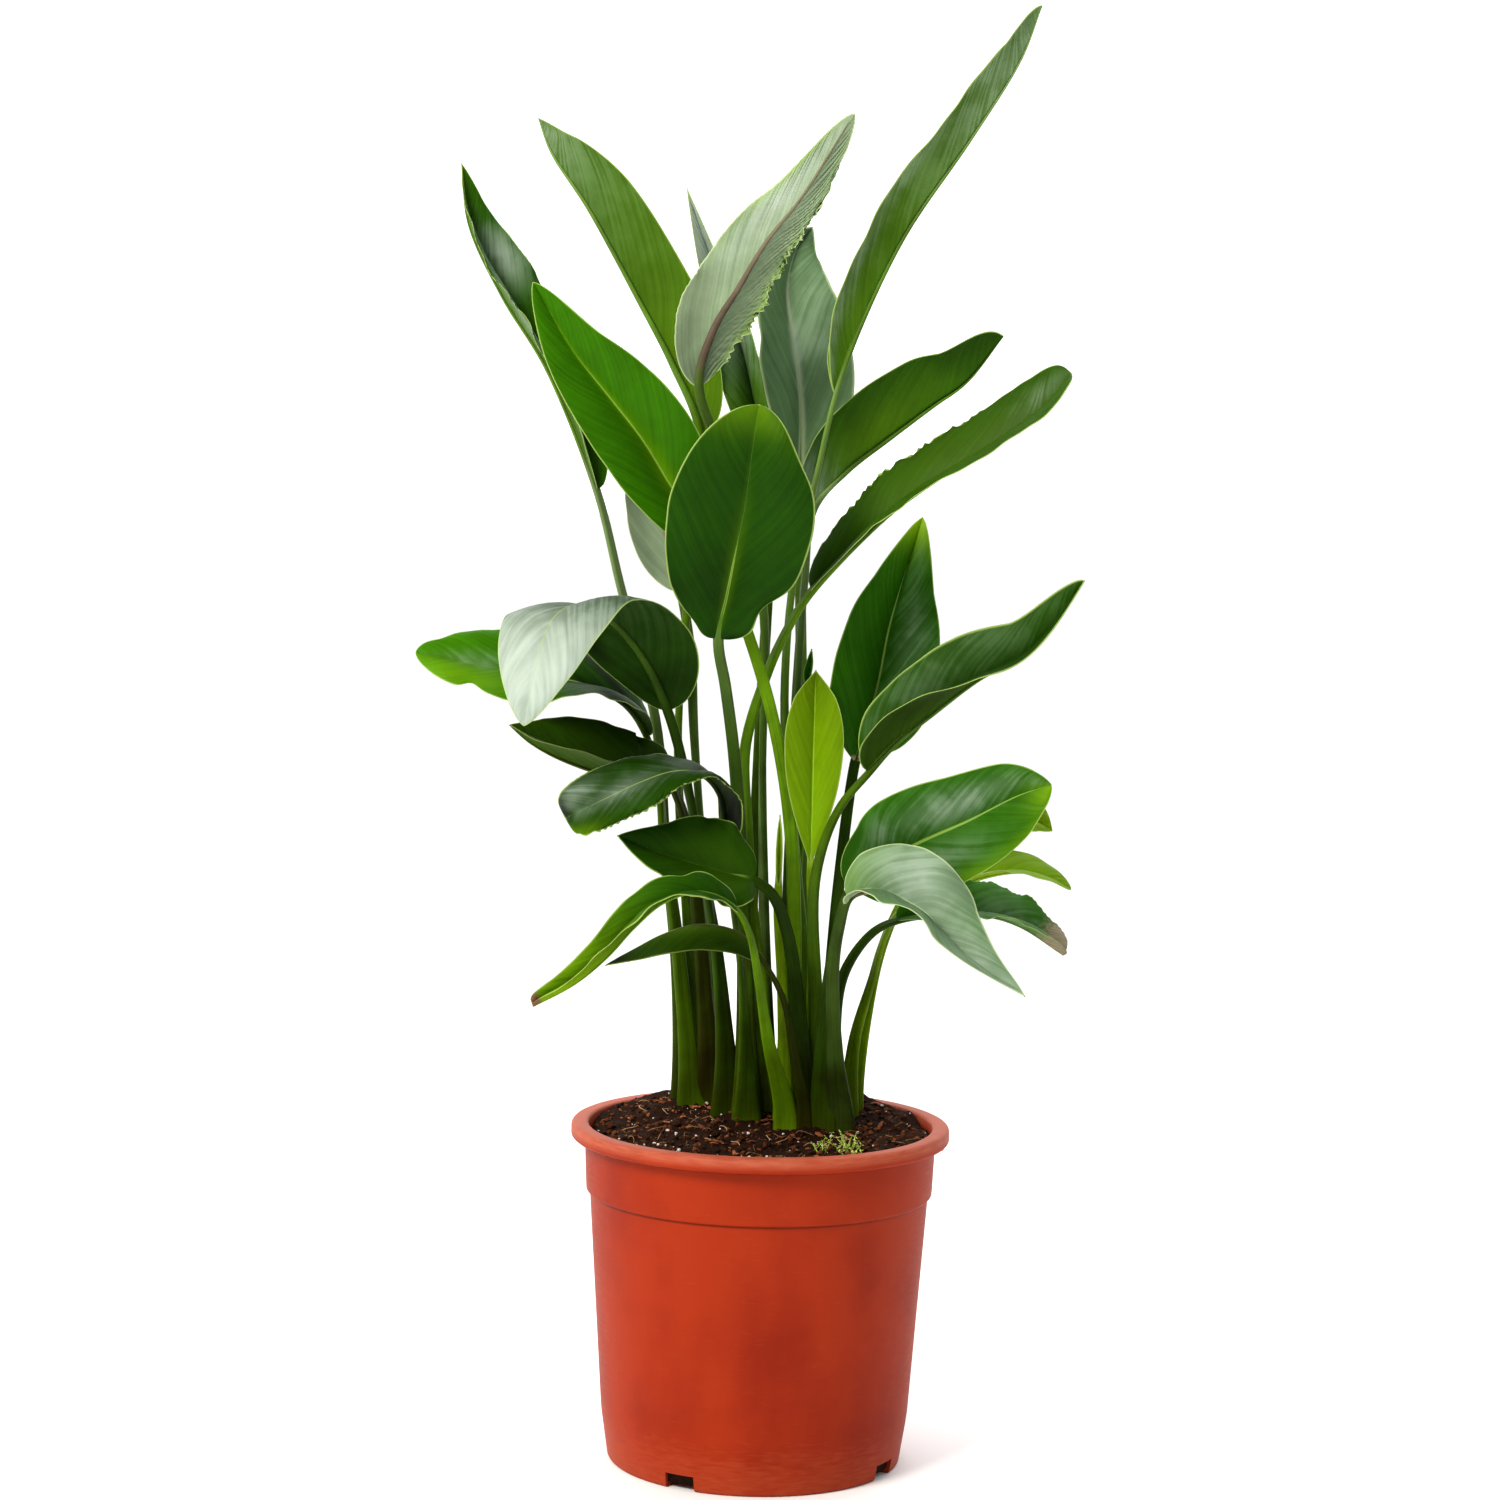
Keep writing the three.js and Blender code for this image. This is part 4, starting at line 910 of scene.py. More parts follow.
LEAVES = (
    Leaf(
        "leaf_01_outer_left", Skin.MID, (-51, 70),
        ((-57, 76, 310), (-66, 84, 380), (-74, 90, 462), (-99, 96, 550)),
        ((-116, 98, 613), (-150, 102, 692), (-180, 105, 738), (-203, 108, 784), (-209, 110, 824)),
        29, fold=(50, 42, 40), wave=(10, 3), turn=(-50, -56, -50), torn=(0.1, 5), teeth=0.07,
        stalk_tone=0.6, stalk_wax=0.35,
        marks=(bloom_and_sheen(0.62, 0.5, 0.1, 0.45, 0.6), bloom_and_sheen(0.4, -0.6, 0.5, 0.4, 0.35),
               fresh(0.97, -0.5, 0.12, 0.6, 0.5)),
    ),
    Leaf(
        "leaf_02_upper_left", Skin.MID, (-41, 81),
        ((-50, 90, 330), (-59, 96, 440), (-54, 97, 560)),
        ((-49, 96, 650), (-68, 94, 696), (-89, 95, 734), (-125, 100, 796), (-150, 105, 832),
         (-159, 108, 854)),
        37, fold=(55, 55, 50), wave=(3, 2), turn=(-125, -125, -120), rib_to=0.3, crumple=2.2, tone=1.05,
        stalk_tone=1.1,
        marks=(bloom_and_sheen(0.95, 0, 0.3, 1.5, 0.3), bloom_and_sheen(0.55, 0.75, 0.3, 0.3, 0.25),
               fresh(0.15, 0, 0.25, 1.5, 0.2)),
    ),
    Leaf(
        "leaf_03_back_narrow", Skin.MID, (-12, 66),
        ((-9, 80, 330), (-5, 100, 480), (-2, 111, 580)),
        ((-4, 114, 629), (-14, 118, 672), (-22, 122, 706), (-39, 128, 752), (-62, 136, 813)),
        30, fold=(55, 62, 65), wave=(4, 2), turn=(5, 10, 10), tone=1.1, stalk_tone=0.7,
        marks=(bloom_and_sheen(0.9, 0, 0.4, 2, 1.0), fresh(0.15, 0, 0.3, 2, 0.2), dark(0.05, 0, 0.3, 2, 0.3)),
    ),
    Leaf(
        "leaf_04_grey_toothed", Skin.BLUE, (5, 52),
        ((0, 46, 330), (-4, 42, 434), (-6, 30, 545), (-24, 12, 620)),
        ((-49, 2, 680), (-41, -2, 715), (-26, -10, 741), (-9, -18, 770), (12, -26, 797), (43, -36, 848)),
        29, fold=(12, 14, 12), wave=(6, 4), turn=(172, 175, 178), torn=(0.09, 7), teeth=0.13, blunt=0.6,
        widest=0.32, base=0.7, ridge=0.7, ragged=(0.1, 0.9), sweep=1.6, rib_mm=1.5, hem_mm=1.6, ribs=1.1,
        bites=((0.5, -1, 0.2, 0.6),), tone=1.1, stalk_tone=0.9, rows=220,
        marks=(bloom_and_sheen(0.75, 0.6, 0.28, 0.5, 0.6), fresh(0.4, -1, 0.45, 0.3, 0.5),
               fresh(0.85, 0.95, 0.3, 0.2, 0.55), dark(0.15, 0.7, 0.2, 0.5, 0.35),
               dark(0.05, 0.3, 0.1, 0.8, 0.45)),
    ),
    Leaf(
        "leaf_05_bright_left", Skin.BRIGHT, (17, 29),
        ((19, 20, 326), (14, 2, 410), (1, -16, 478), (-16, -24, 531)),
        ((-36, -28, 578), (-63, -30, 616), (-83, -33, 647), (-104, -36, 673), (-126, -40, 700),
         (-151, -44, 741)),
        35, fold=(32, 28, 24), wave=(3, 2), turn=(-10, -10, -5), blunt=0.7, rib_to=0.85, rib_mm=1.4,
        tone=0.84, stalk_tone=1.4,
        marks=(fresh(0.1, 0, 0.3, 0.2, 0.5), fresh(0.4, 0, 0.5, 0.08, 0.4)),
    ),
    Leaf(
        "leaf_06_centre_oval", Skin.DEEP, (-9, 34),
        ((-13, 24, 330), (-17, 10, 396), (-22, -12, 452), (-28, -34, 495)),
        ((-33, -50, 526), (-28, -57, 554), (-23, -64, 582), (-18, -72, 610), (-15, -80, 638),
         (-11, -86, 669)),
        47, fold=(18, 12, 16), wave=(3, 2), turn=(5, 8, 8), blunt=0.5, widest=0.55, flare=1.3, rib_to=0.5,
        rib_mm=1.4, hem_mm=2, crumple=2.4,
        bites=((0.17, 1, 0.3, 0.09), (0.05, -1, 0.25, 0.05), (0.9, 1, 0.12, 0.14)), stalk_tone=1.2,
        stalk_wax=0.1,
        marks=(dark(0.2, 0, 0.3, 1.2, 0.32), dark(0.45, 0.5, 0.4, 0.5, 0.15), fresh(1, 0, 0.1, 1.5, 0.3),
               dark(0.0, 0.6, 0.06, 0.6, 0.7), fresh(0.2, 0, 0.35, 0.1, 0.2)),
    ),
    Leaf(
        "leaf_07_tallest", Skin.MID, (29, 40),
        ((27, 35, 300), (18, 26, 388), (9, 10, 485), (14, -8, 574), (24, -14, 620)),
        ((36, -12, 677), (49, -4, 716), (77, 4, 777), (117, 8, 838), (147, 9, 888), (159, 8, 921)),
        26, fold=(58, 56, 54), wave=(7, 4), turn=(92, 95, 92), blunt=0.6, base=0.8, hem_mm=1.5, tone=1.08,
        stalk_tone=1.5, stalk_wax=0.2,
        marks=(bloom_and_sheen(0.85, 0, 0.3, 2, 0.38), bloom_and_sheen(0.3, 0.9, 0.4, 0.3, 0.3)),
    ),
    Leaf(
        "leaf_08_back_blue", Skin.BLUE, (29, 51),
        ((27, 58, 330), (22, 64, 450), (18, 68, 560)),
        ((16, 68, 622), (15, 70, 676), (9, 76, 714), (5, 82, 746), (10, 88, 771), (21, 92, 787)),
        38, fold=(30, 30, 26), wave=(6, 3), turn=(-22, -24, -20), widest=0.3, rib_mm=5, hem_mm=2.6,
        tone=1.15, stalk_tone=1.1,
        marks=(bloom_and_sheen(0.3, 0, 0.4, 0.13, 0.95), bloom_and_sheen(0.45, 0.45, 0.35, 0.5, 0.25),
               dark(0.97, 0, 0.12, 1.5, 0.45), dark(0.5, -0.75, 0.4, 0.2, 0.1)),
    ),
    Leaf(
        "leaf_09_right_folded", Skin.DEEP, (17, 40),
        ((15, 42, 310), (16, 35, 430), (17, 28, 500), (20, 22, 560)),
        ((25, 18, 606), (45, 14, 630), (71, 9, 651), (98, 4, 672), (118, 0, 687), (140, -4, 716)),
        38, fold=(58, 64, 60), wave=(2, 2), turn=(90, 95, 92), blunt=0.42, crumple=2, stalk_tone=0.9,
        stalk_wax=0.2,
        marks=(fresh(0.3, 0.2, 0.4, 0.5, 0.15), bloom_and_sheen(0.05, 0, 0.1, 2, 0.5), dark(1, 0, 0.2, 2, 0.3)),
    ),
    Leaf(
        "leaf_10_right_torn", Skin.MID, (3, 41),
        ((-2, 34, 300), (-9, 28, 350), (-13, 21, 403), (-15, 12, 454), (-2, -1, 503), (12, -20, 536)),
        ((24, -34, 556), (58, -46, 594), (77, -52, 611), (103, -60, 630), (135, -66, 651), (160, -70, 671),
         (177, -75, 692)),
        32, fold=(28, 22, 20), wave=(3, 4), turn=(66, 66, 60), torn=(0.04, 12), teeth=0.12, blunt=0.28,
        ragged=(0.1, 0.62), hem_mm=1.4, tone=0.62, stalk_tone=1.7,
        marks=(bloom_and_sheen(0.85, -0.3, 0.12, 0.3, 0.15), fresh(0.5, 0, 0.6, 1, 0.12), dark(0.03, 0, 0.06, 1, 0.4)),
    ),
    Leaf(
        "leaf_11_right_upright", Skin.DEEP, (40, 31),
        ((43, 28, 300), (47, 22, 371)),
        ((55, 17, 446), (61, 15, 469), (68, 14, 497), (74, 15, 531), (81, 18, 558), (94, 22, 602)),
        42, fold=(42, 36, 35), wave=(3, 2), turn=(-8, -6, -5), blunt=0.75, base=0.85, rib_mm=3, crumple=2.2,
        tone=1.9, stalk_tone=0.8,
        marks=(bloom_and_sheen(0.5, 0.5, 0.35, 0.35, 0.25), fresh(1, 0, 0.08, 2, 0.8), dry(0, 0, 0.035, 2, 0.9)),
    ),
    Leaf(
        "leaf_12_right_boat", Skin.MID, (39.5, 20),
        ((33, 6, 300), (31, -14, 376), (44, -28, 420)),
        ((62, -33, 444), (78, -38, 463), (101, -44, 483), (127, -50, 504), (159, -56, 524), (190, -60, 567)),
        33, fold=(56, 54, 42, 38), wave=(5, 2), turn=(84, 70, 52, 48), blunt=0.6, hem_mm=2.2, crumple=2,
        tone=0.8,
        marks=(bloom_and_sheen(0.5, -0.6, 0.5, 0.5, 0.1), dark(0.5, 0.6, 0.7, 0.6, 0.6)),
    ),
    Leaf(
        "leaf_13_young_lime", Skin.LIME, (29, 29),
        ((31, 25, 285), (30, 16, 340)),
        ((28, 6, 375), (28, 2, 400), (28, -3, 430), (28, -9, 462), (28, -14, 490), (28, -17, 506)),
        21, fold=(30, 26, 26), wave=(2, 2), turn=(0, 0, 0), blunt=1.05, widest=0.6, base=1.6, tone=0.95,
        marks=(fresh(0.1, 0, 0.5, 1, 0.7), fresh(0.4, 0, 0.5, 0.08, 0.5), dark(0.95, 0, 0.35, 2, 0.2)),
    ),
    Leaf(
        "leaf_14_low_right_glossy", Skin.DEEP, (39.5, 9),
        ((39, -2, 270), (44, -14, 330)),
        ((54, -22, 370), (77, -34, 390), (92, -44, 401), (123, -60, 418), (152, -78, 436), (171, -88, 444)),
        36, fold=(12, 14, 10), wave=(4, 2), turn=(10, 4, 0), blunt=0.6, ridge=0.9, flare=1.1, rib_mm=2.6,
        crumple=2.6, tone=1.95,
        marks=(bloom_and_sheen(0.4, 0.5, 0.2, 0.28, 0.3), bloom_and_sheen(0.62, -0.45, 0.28, 0.3, 0.42),
               bloom_and_sheen(0.3, -0.5, 0.15, 0.3, 0.25), fresh(1, 0.4, 0.14, 0.7, 0.5),
               fresh(0.5, 1, 0.6, 0.2, 0.3), dark(0.05, 0, 0.2, 2, 0.3)),
    ),
    Leaf(
        "leaf_15_drooping_front", Skin.BLUE, (51, 9),
        ((46, -10, 262), (43, -28, 318), (46, -45, 349)),
        ((51, -54, 368), (61, -64, 374), (73, -75, 374), (85, -85, 370), (97, -95, 364), (110, -105, 351),
         (129, -117, 337), (156, -126, 320)),
        35, fold=(38, 38, 32, 24), wave=(4, 3), turn=(44, 50, 50, 54), base=0.8, rib_mm=2.4, hem_mm=1.8,
        crumple=2.4, tone=1.2, stalk_tone=0.45,
        marks=(bloom_and_sheen(0.45, -0.4, 0.25, 0.8, 0.6), dark(0.66, 0.3, 0.06, 0.35, 0.3),
               bloom_and_sheen(0.85, 0, 0.25, 0.9, 0.5), fresh(0.05, 0, 0.15, 2, 0.25)),
    ),
    Leaf(
        "leaf_16_dry_tip", Skin.DEEP, (51, 20),
        ((46, 12, 270), (51, 4, 312), (68, 4, 338)),
        ((84, 8, 346), (114, 12, 350), (140, 14, 350), (163, 15, 343), (191, 16, 325)),
        27, fold=(30, 30, 34), wave=(7, 3), turn=(62, 66, 76), torn=(0.1, 5), teeth=0.05, blunt=0.25,
        crumple=2.8, tone=2.2, stalk_tone=0.75,
        marks=(dry(1.04, 0, 0.2, 1.8), bloom_and_sheen(0.7, 0.2, 0.35, 0.8, 0.3), dark(0.15, 0, 0.2, 1, 0.4)),
    ),
    Leaf(
        "leaf_17_right_green", Skin.LIME, (57, 42),
        ((60, 46, 262), (70, 50, 300), (78, 49, 330)),
        ((87, 48, 347), (116, 54, 359), (136, 58, 367), (152, 61, 371), (168, 63, 372), (184, 65, 368),
         (199, 67, 361)),
        24, fold=(30, 20, 15), wave=(5, 2), turn=(85, 78, 72), blunt=0.5, tone=0.95, stalk_tone=0.7,
        marks=(fresh(0.7, 0, 0.4, 1, 0.35),),
    ),
    Leaf(
        "leaf_18_right_back", Skin.LIME, (60, 54),
        ((66, 62, 265), (78, 78, 320), (98, 94, 362)),
        ((118, 104, 384), (143, 110, 396), (162, 112, 401), (178, 113, 400), (190, 114, 394)),
        26, fold=(28, 22, 18), wave=(4, 2), turn=(70, 60, 50), stalk_tone=0.8,
    ),
    Leaf(
        "leaf_19_big_arch", Skin.DEEP, (-21, 34),
        ((-30, 20, 320), (-42, 6, 388), (-55, -7, 448)),
        ((-64, -16, 478), (-77, -27, 507), (-96, -42, 532), (-118, -62, 545), (-133, -84, 537),
         (-142, -98, 508), (-148, -106, 474)),
        45, fold=(14, 4, -4, 6), wave=(4, 2),
        face=((0.4, 0.8, 0.4), (0.2, 0.6, 0.8), (-0.1, 0.1, 1), (-0.3, -0.8, 0.5), (-0.3, -1, 0.1)),
        blunt=0.7, flare=1.5, rib_mm=1.2, hem_mm=1.4, tone=0.9, stalk_tone=0.85,
        marks=(bloom_and_sheen(0.86, 0, 0.3, 3, 1.0), dark(0.33, 0.85, 0.22, 0.3, 0.9), dark(0.28, 0, 0.3, 3, 0.42),
               dark(0.1, 0, 0.12, 2, 0.6)),
    ),
    Leaf(
        "leaf_20_far_left_tip", Skin.BRIGHT, (-45, 58),
        ((-56, 52, 320), (-66, 42, 390), (-70, 37, 430)),
        ((-78, 33, 458), (-93, 28, 479), (-120, 21, 491), (-152, 15, 497), (-188, 9, 503), (-224, 4, 510)),
        36, fold=(20, 14, 10), wave=(8, 3), turn=(-95, -75, -45, -30), blunt=0.55, flare=1.1, rib_to=0.7,
        crumple=3, bites=((0.8, -1, 0.3, 0.035), (0.93, 1, 0.15, 0.04)), tone=1.2, stalk_tone=0.6,
        marks=(dark(0.3, 0, 0.36, 4, 0.97), fresh(0.85, -0.6, 0.2, 0.6, 0.35),
               bloom_and_sheen(0.8, 0.1, 0.12, 0.25, 0.3)),
    ),
    Leaf(
        "leaf_21_left_boat", Skin.OLIVE, (-33, 60),
        ((-42, 50, 330), (-50, 40, 392), (-57, 30, 418)),
        ((-66, 20, 433), (-81, 14, 433), (-104, 6, 436), (-132, -4, 446), (-150, -10, 456),
         (-163, -14, 467)),
        35, fold=(40, 40, 36), wave=(4, 2), turn=(-70, -72, -70), base=0.25, flare=1.2, hem_mm=1.6,
        tone=1.3, stalk_tone=0.7,
        marks=(dark(0.1, 0, 0.15, 2, 0.3),),
    ),
    Leaf(
        "leaf_22_black_edged_arch", Skin.MID, (-9, 23),
        ((-13, 6, 300), (-20, -14, 355)),
        ((-27, -28, 404), (-30, -37, 428), (-42, -49, 442), (-58, -59, 444), (-78, -69, 438),
         (-100, -79, 428), (-123, -88, 417)),
        25, fold=(16, 8, 2, 4), wave=(5, 2), turn=(-118, -95, -45, -15), torn=(0.08, 4), teeth=0.12,
        blunt=0.18, base=0.22, flare=1.7, ragged=(0.2, 1.0), hem_mm=1.6, crumple=2.6, tone=0.65,
        marks=(bloom_and_sheen(0.75, 0, 0.2, 0.35, 0.5), bloom_and_sheen(0.95, 0.6, 0.15, 0.4, 0.5),
               dark(0.1, 0, 0.34, 3, 0.97), dark(1, 0.45, 0.03, 0.7, 0.97),
               fresh(0.97, -0.9, 0.08, 0.35, 0.25)),
    ),
    Leaf(
        "leaf_23_dark_left", Skin.DEEP, (28, 18),
        ((22, 4, 290), (14, -18, 340), (4, -34, 366)),
        ((-8, -44, 376), (-24, -52, 381), (-44, -58, 387), (-66, -64, 394), (-92, -70, 405)),
        33, fold=(20, 20, 15), wave=(8, 3), turn=(-40, -40, -40), flare=1.1, rib_to=0.3, hem_mm=1.5,
        crumple=3, stalk_tone=0.7,
        marks=(dark(0.6, 0, 0.5, 2, 0.25), fresh(0.3, 0, 0.5, 1, 0.1)),
    ),
    Leaf(
        "leaf_24_bright_droop", Skin.BRIGHT, (16, 7),
        ((4, -22, 270), (-4, -48, 318), (-10, -70, 347)),
        ((-18, -84, 363), (-30, -93, 372), (-46, -100, 375), (-63, -106, 369), (-79, -112, 355),
         (-95, -118, 337), (-114, -124, 321), (-138, -130, 308)),
        16, fold=(15, 30, 60, 72), wave=(10, 3), turn=(-70, -60, -50, -40), blunt=0.18, widest=0.3,
        flare=1.4, hem_mm=1.5, crumple=2.4, bites=((0.14, -1, 0.45, 0.05), (0.3, 1, 0.3, 0.05)), tone=0.55,
        stalk_tone=1.25,
        marks=(dry(1, 0, 0.03, 2), fresh(0.95, 0, 0.3, 2, 0.75), dark(0.1, 0, 0.2, 2, 0.3)),
    ),
    Leaf(
        "leaf_25_olive_thin", Skin.OLIVE, (28, 7),
        ((20, -8, 262), (12, -22, 300)),
        ((-2, -32, 326), (-16, -38, 342), (-40, -46, 348), (-62, -54, 343), (-80, -60, 334),
         (-98, -66, 324)),
        19, fold=(-40, -45, -30), wave=(4, 2), turn=(-90, -85, -80), flare=0.5, stalk_tone=0.8,
        marks=(dark(1, 0, 0.16, 2, 1.0), fresh(0.3, 0, 0.3, 0.4, 0.2)),
    ),
    Leaf(
        "leaf_26_grey_behind", Skin.BLUE, (-30, 90),
        ((-40, 98, 350), (-49, 106, 450), (-53, 110, 510)),
        ((-60, 112, 548), (-69, 114, 580), (-75, 116, 610), (-79, 118, 640), (-82, 119, 668)),
        30, fold=(35, 32, 30), wave=(4, 2), turn=(180, 180, 180), crumple=2.5, ribs=0.8, tone=0.8,
        stalk_tone=0.7,
        marks=(fresh(1, 0, 0.12, 2, 0.7),),
    ),
    Leaf(
        "leaf_27_spear", Skin.LIME, (16, 18),
        ((12, 16, 300), (8, 12, 350)),
        ((8, 10, 366), (8, 9, 382), (8, 8, 398), (8, 8, 412)),
        4.5, fold=(60, 60, 50), wave=(0, 1), turn=(0, 0, 0), flare=1.0,
    ),
    Leaf(
        "leaf_28_back_spear", Skin.BRIGHT, (17, 51),
        ((19, 52, 320), (22, 47, 420), (23, 42, 480)),
        ((24, 40, 492), (25, 39, 500), (26, 38, 508), (26, 37, 516)),
        5, fold=(55, 55, 50), wave=(0, 1), turn=(20, 20, 20),
    ),
)


class Clump:
    """The plant above the soil: all its leaves."""

    def __init__(self) -> None:
        """Makes a pair of materials, blade and stalk, for each finish."""
        self.skins = {skin: (LEAF_SKINS[skin].build(), STALK_SKINS[skin].build()) for skin in Skin}

    def build(self) -> list[bpy.types.Object]:
        """Makes every leaf."""
        return [leaf.build(self.skins) for leaf in LEAVES]


@dataclass(frozen=True)
class MouldedPolypropylene:
    """Terracotta-orange polypropylene, injection moulded: matt and even, with faint run marks.

    The rim's top is painted paler, partly as scuffs and partly as a painted highlight, and painted shadow
    darkens the angles at the collar's two ends.
    """

    name: str = "moulded_polypropylene_terracotta"
    body: str = "#9a310f"
    deep: str = "#88260b"
    chalk: str = "#a94f31"
    rim: str = "#b2624a"
    roughness: float = 0.5
    grain_mm: float = 0.7
    blotch_mm: float = 62.5
    run_mm: tuple[float, float, float] = (29.4, 29.4, 143.0)
    scuff_mm: tuple[float, float, float] = (11.1, 11.1, 1.43)
    rim_from: float = 208.5
    rim_fade: float = 4.0
    foot_stain_to: float = 40.0
    shadow_heights: tuple[float, ...] = (171.6, 205.8)
    shadow_mm: float = 1.3

    def build(self) -> bpy.types.Material:
        """Makes the material from the pot's own place: stains run down it, the rim's top is painted paler as
        scuffs and a painted highlight, and painted shadow lines the collar's ends.
        """
        material, tree = new_material(self.name)
        place = add_node(tree, "TexCoord").outputs["Object"]
        height = add_node(tree, "SeparateXYZ", {0: place}).outputs[2]
        drawn = []
        for sizes in (self.run_mm, self.scuff_mm):
            scale = tuple(1 / (size * MM) for size in sizes)
            at = add_node(tree, "VectorMath", {0: place, 1: scale}, operation="MULTIPLY")
            drawn.append(add_node(tree, "TexNoise", {"Vector": at, "Scale": 1.0, "Detail": 4.0}))
        run, scuff = drawn
        blotch = {"Vector": place, "Scale": 1 / (self.blotch_mm * MM), "Detail": 5.0}
        blotch = add_node(tree, "TexNoise", blotch)
        grain = {"Vector": place, "Scale": 1 / (self.grain_mm * MM), "Detail": 2.0}
        grain = add_node(tree, "TexNoise", grain)
        mixed = add_node(tree, "Math", {0: run, 1: 0.5, 2: blotch}, operation="MULTIPLY_ADD")
        stained = add_node(tree, "MapRange", {0: mixed, 1: 0.66, 2: 0.98})
        low = add_node(tree, "MapRange", {0: height, 1: 0.0, 2: self.foot_stain_to * MM, 3: 0.5, 4: 0.0})
        dust = add_node(tree, "Math", {0: low, 1: scuff}, operation="ADD")
        dusty = add_node(tree, "MapRange", {0: dust, 1: 0.60, 2: 1.1, 3: 0.0, 4: 0.6})
        # The rim's top band is painted paler, partly as scuffed wear and partly as a painted highlight.
        rim_top = (self.rim_from + self.rim_fade) * MM
        at_rim = add_node(tree, "MapRange", {0: height, 1: self.rim_from * MM, 2: rim_top, 3: 0.0, 4: 0.75})
        worn = add_node(tree, "MapRange", {0: scuff, 1: 0.3, 2: 0.7, 3: 0.6, 4: 1.2})
        rubbed_and_lit = add_node(tree, "Math", {0: at_rim, 1: worn}, operation="MULTIPLY", use_clamp=True)
        colour = linear(self.body)
        for share, tint in ((stained, self.deep), (dusty, self.chalk), (rubbed_and_lit, self.rim)):
            mixed = {0: share, 6: colour, 7: linear(tint)}
            colour = add_node(tree, "Mix", mixed, data_type="RGBA")
        # Painted shadow: thin dark bands under the collar's step and under the rim's lip.
        for shadow_height in self.shadow_heights:
            off = add_node(tree, "Math", {0: height, 1: shadow_height * MM}, operation="SUBTRACT")
            off = add_node(tree, "Math", {0: off}, operation="ABSOLUTE")
            painted_shadow = add_node(tree, "MapRange", {0: off, 2: self.shadow_mm * MM, 3: 0.45, 4: 1.0})
            colour = add_node(tree, "VectorMath", {0: colour, 3: painted_shadow}, operation="SCALE")
        dull = {0: scuff, 1: 0.22, 2: self.roughness - 0.11}
        dull = add_node(tree, "Math", dull, operation="MULTIPLY_ADD")
        relief = add_node(tree, "Math", {0: blotch, 1: 2.5, 2: grain}, operation="MULTIPLY_ADD")
        bump = add_node(tree, "Bump", {"Strength": 0.3, "Distance": 0.12 * MM, "Height": relief})
        surface = {"Base Color": colour, "Roughness": dull, "Normal": bump}
        surface |= {"IOR": 1.49, "Specular IOR Level": 0.14}
        shader = add_node(tree, "BsdfPrincipled", surface)
        add_node(tree, "OutputMaterial", {"Surface": shader})
        return material


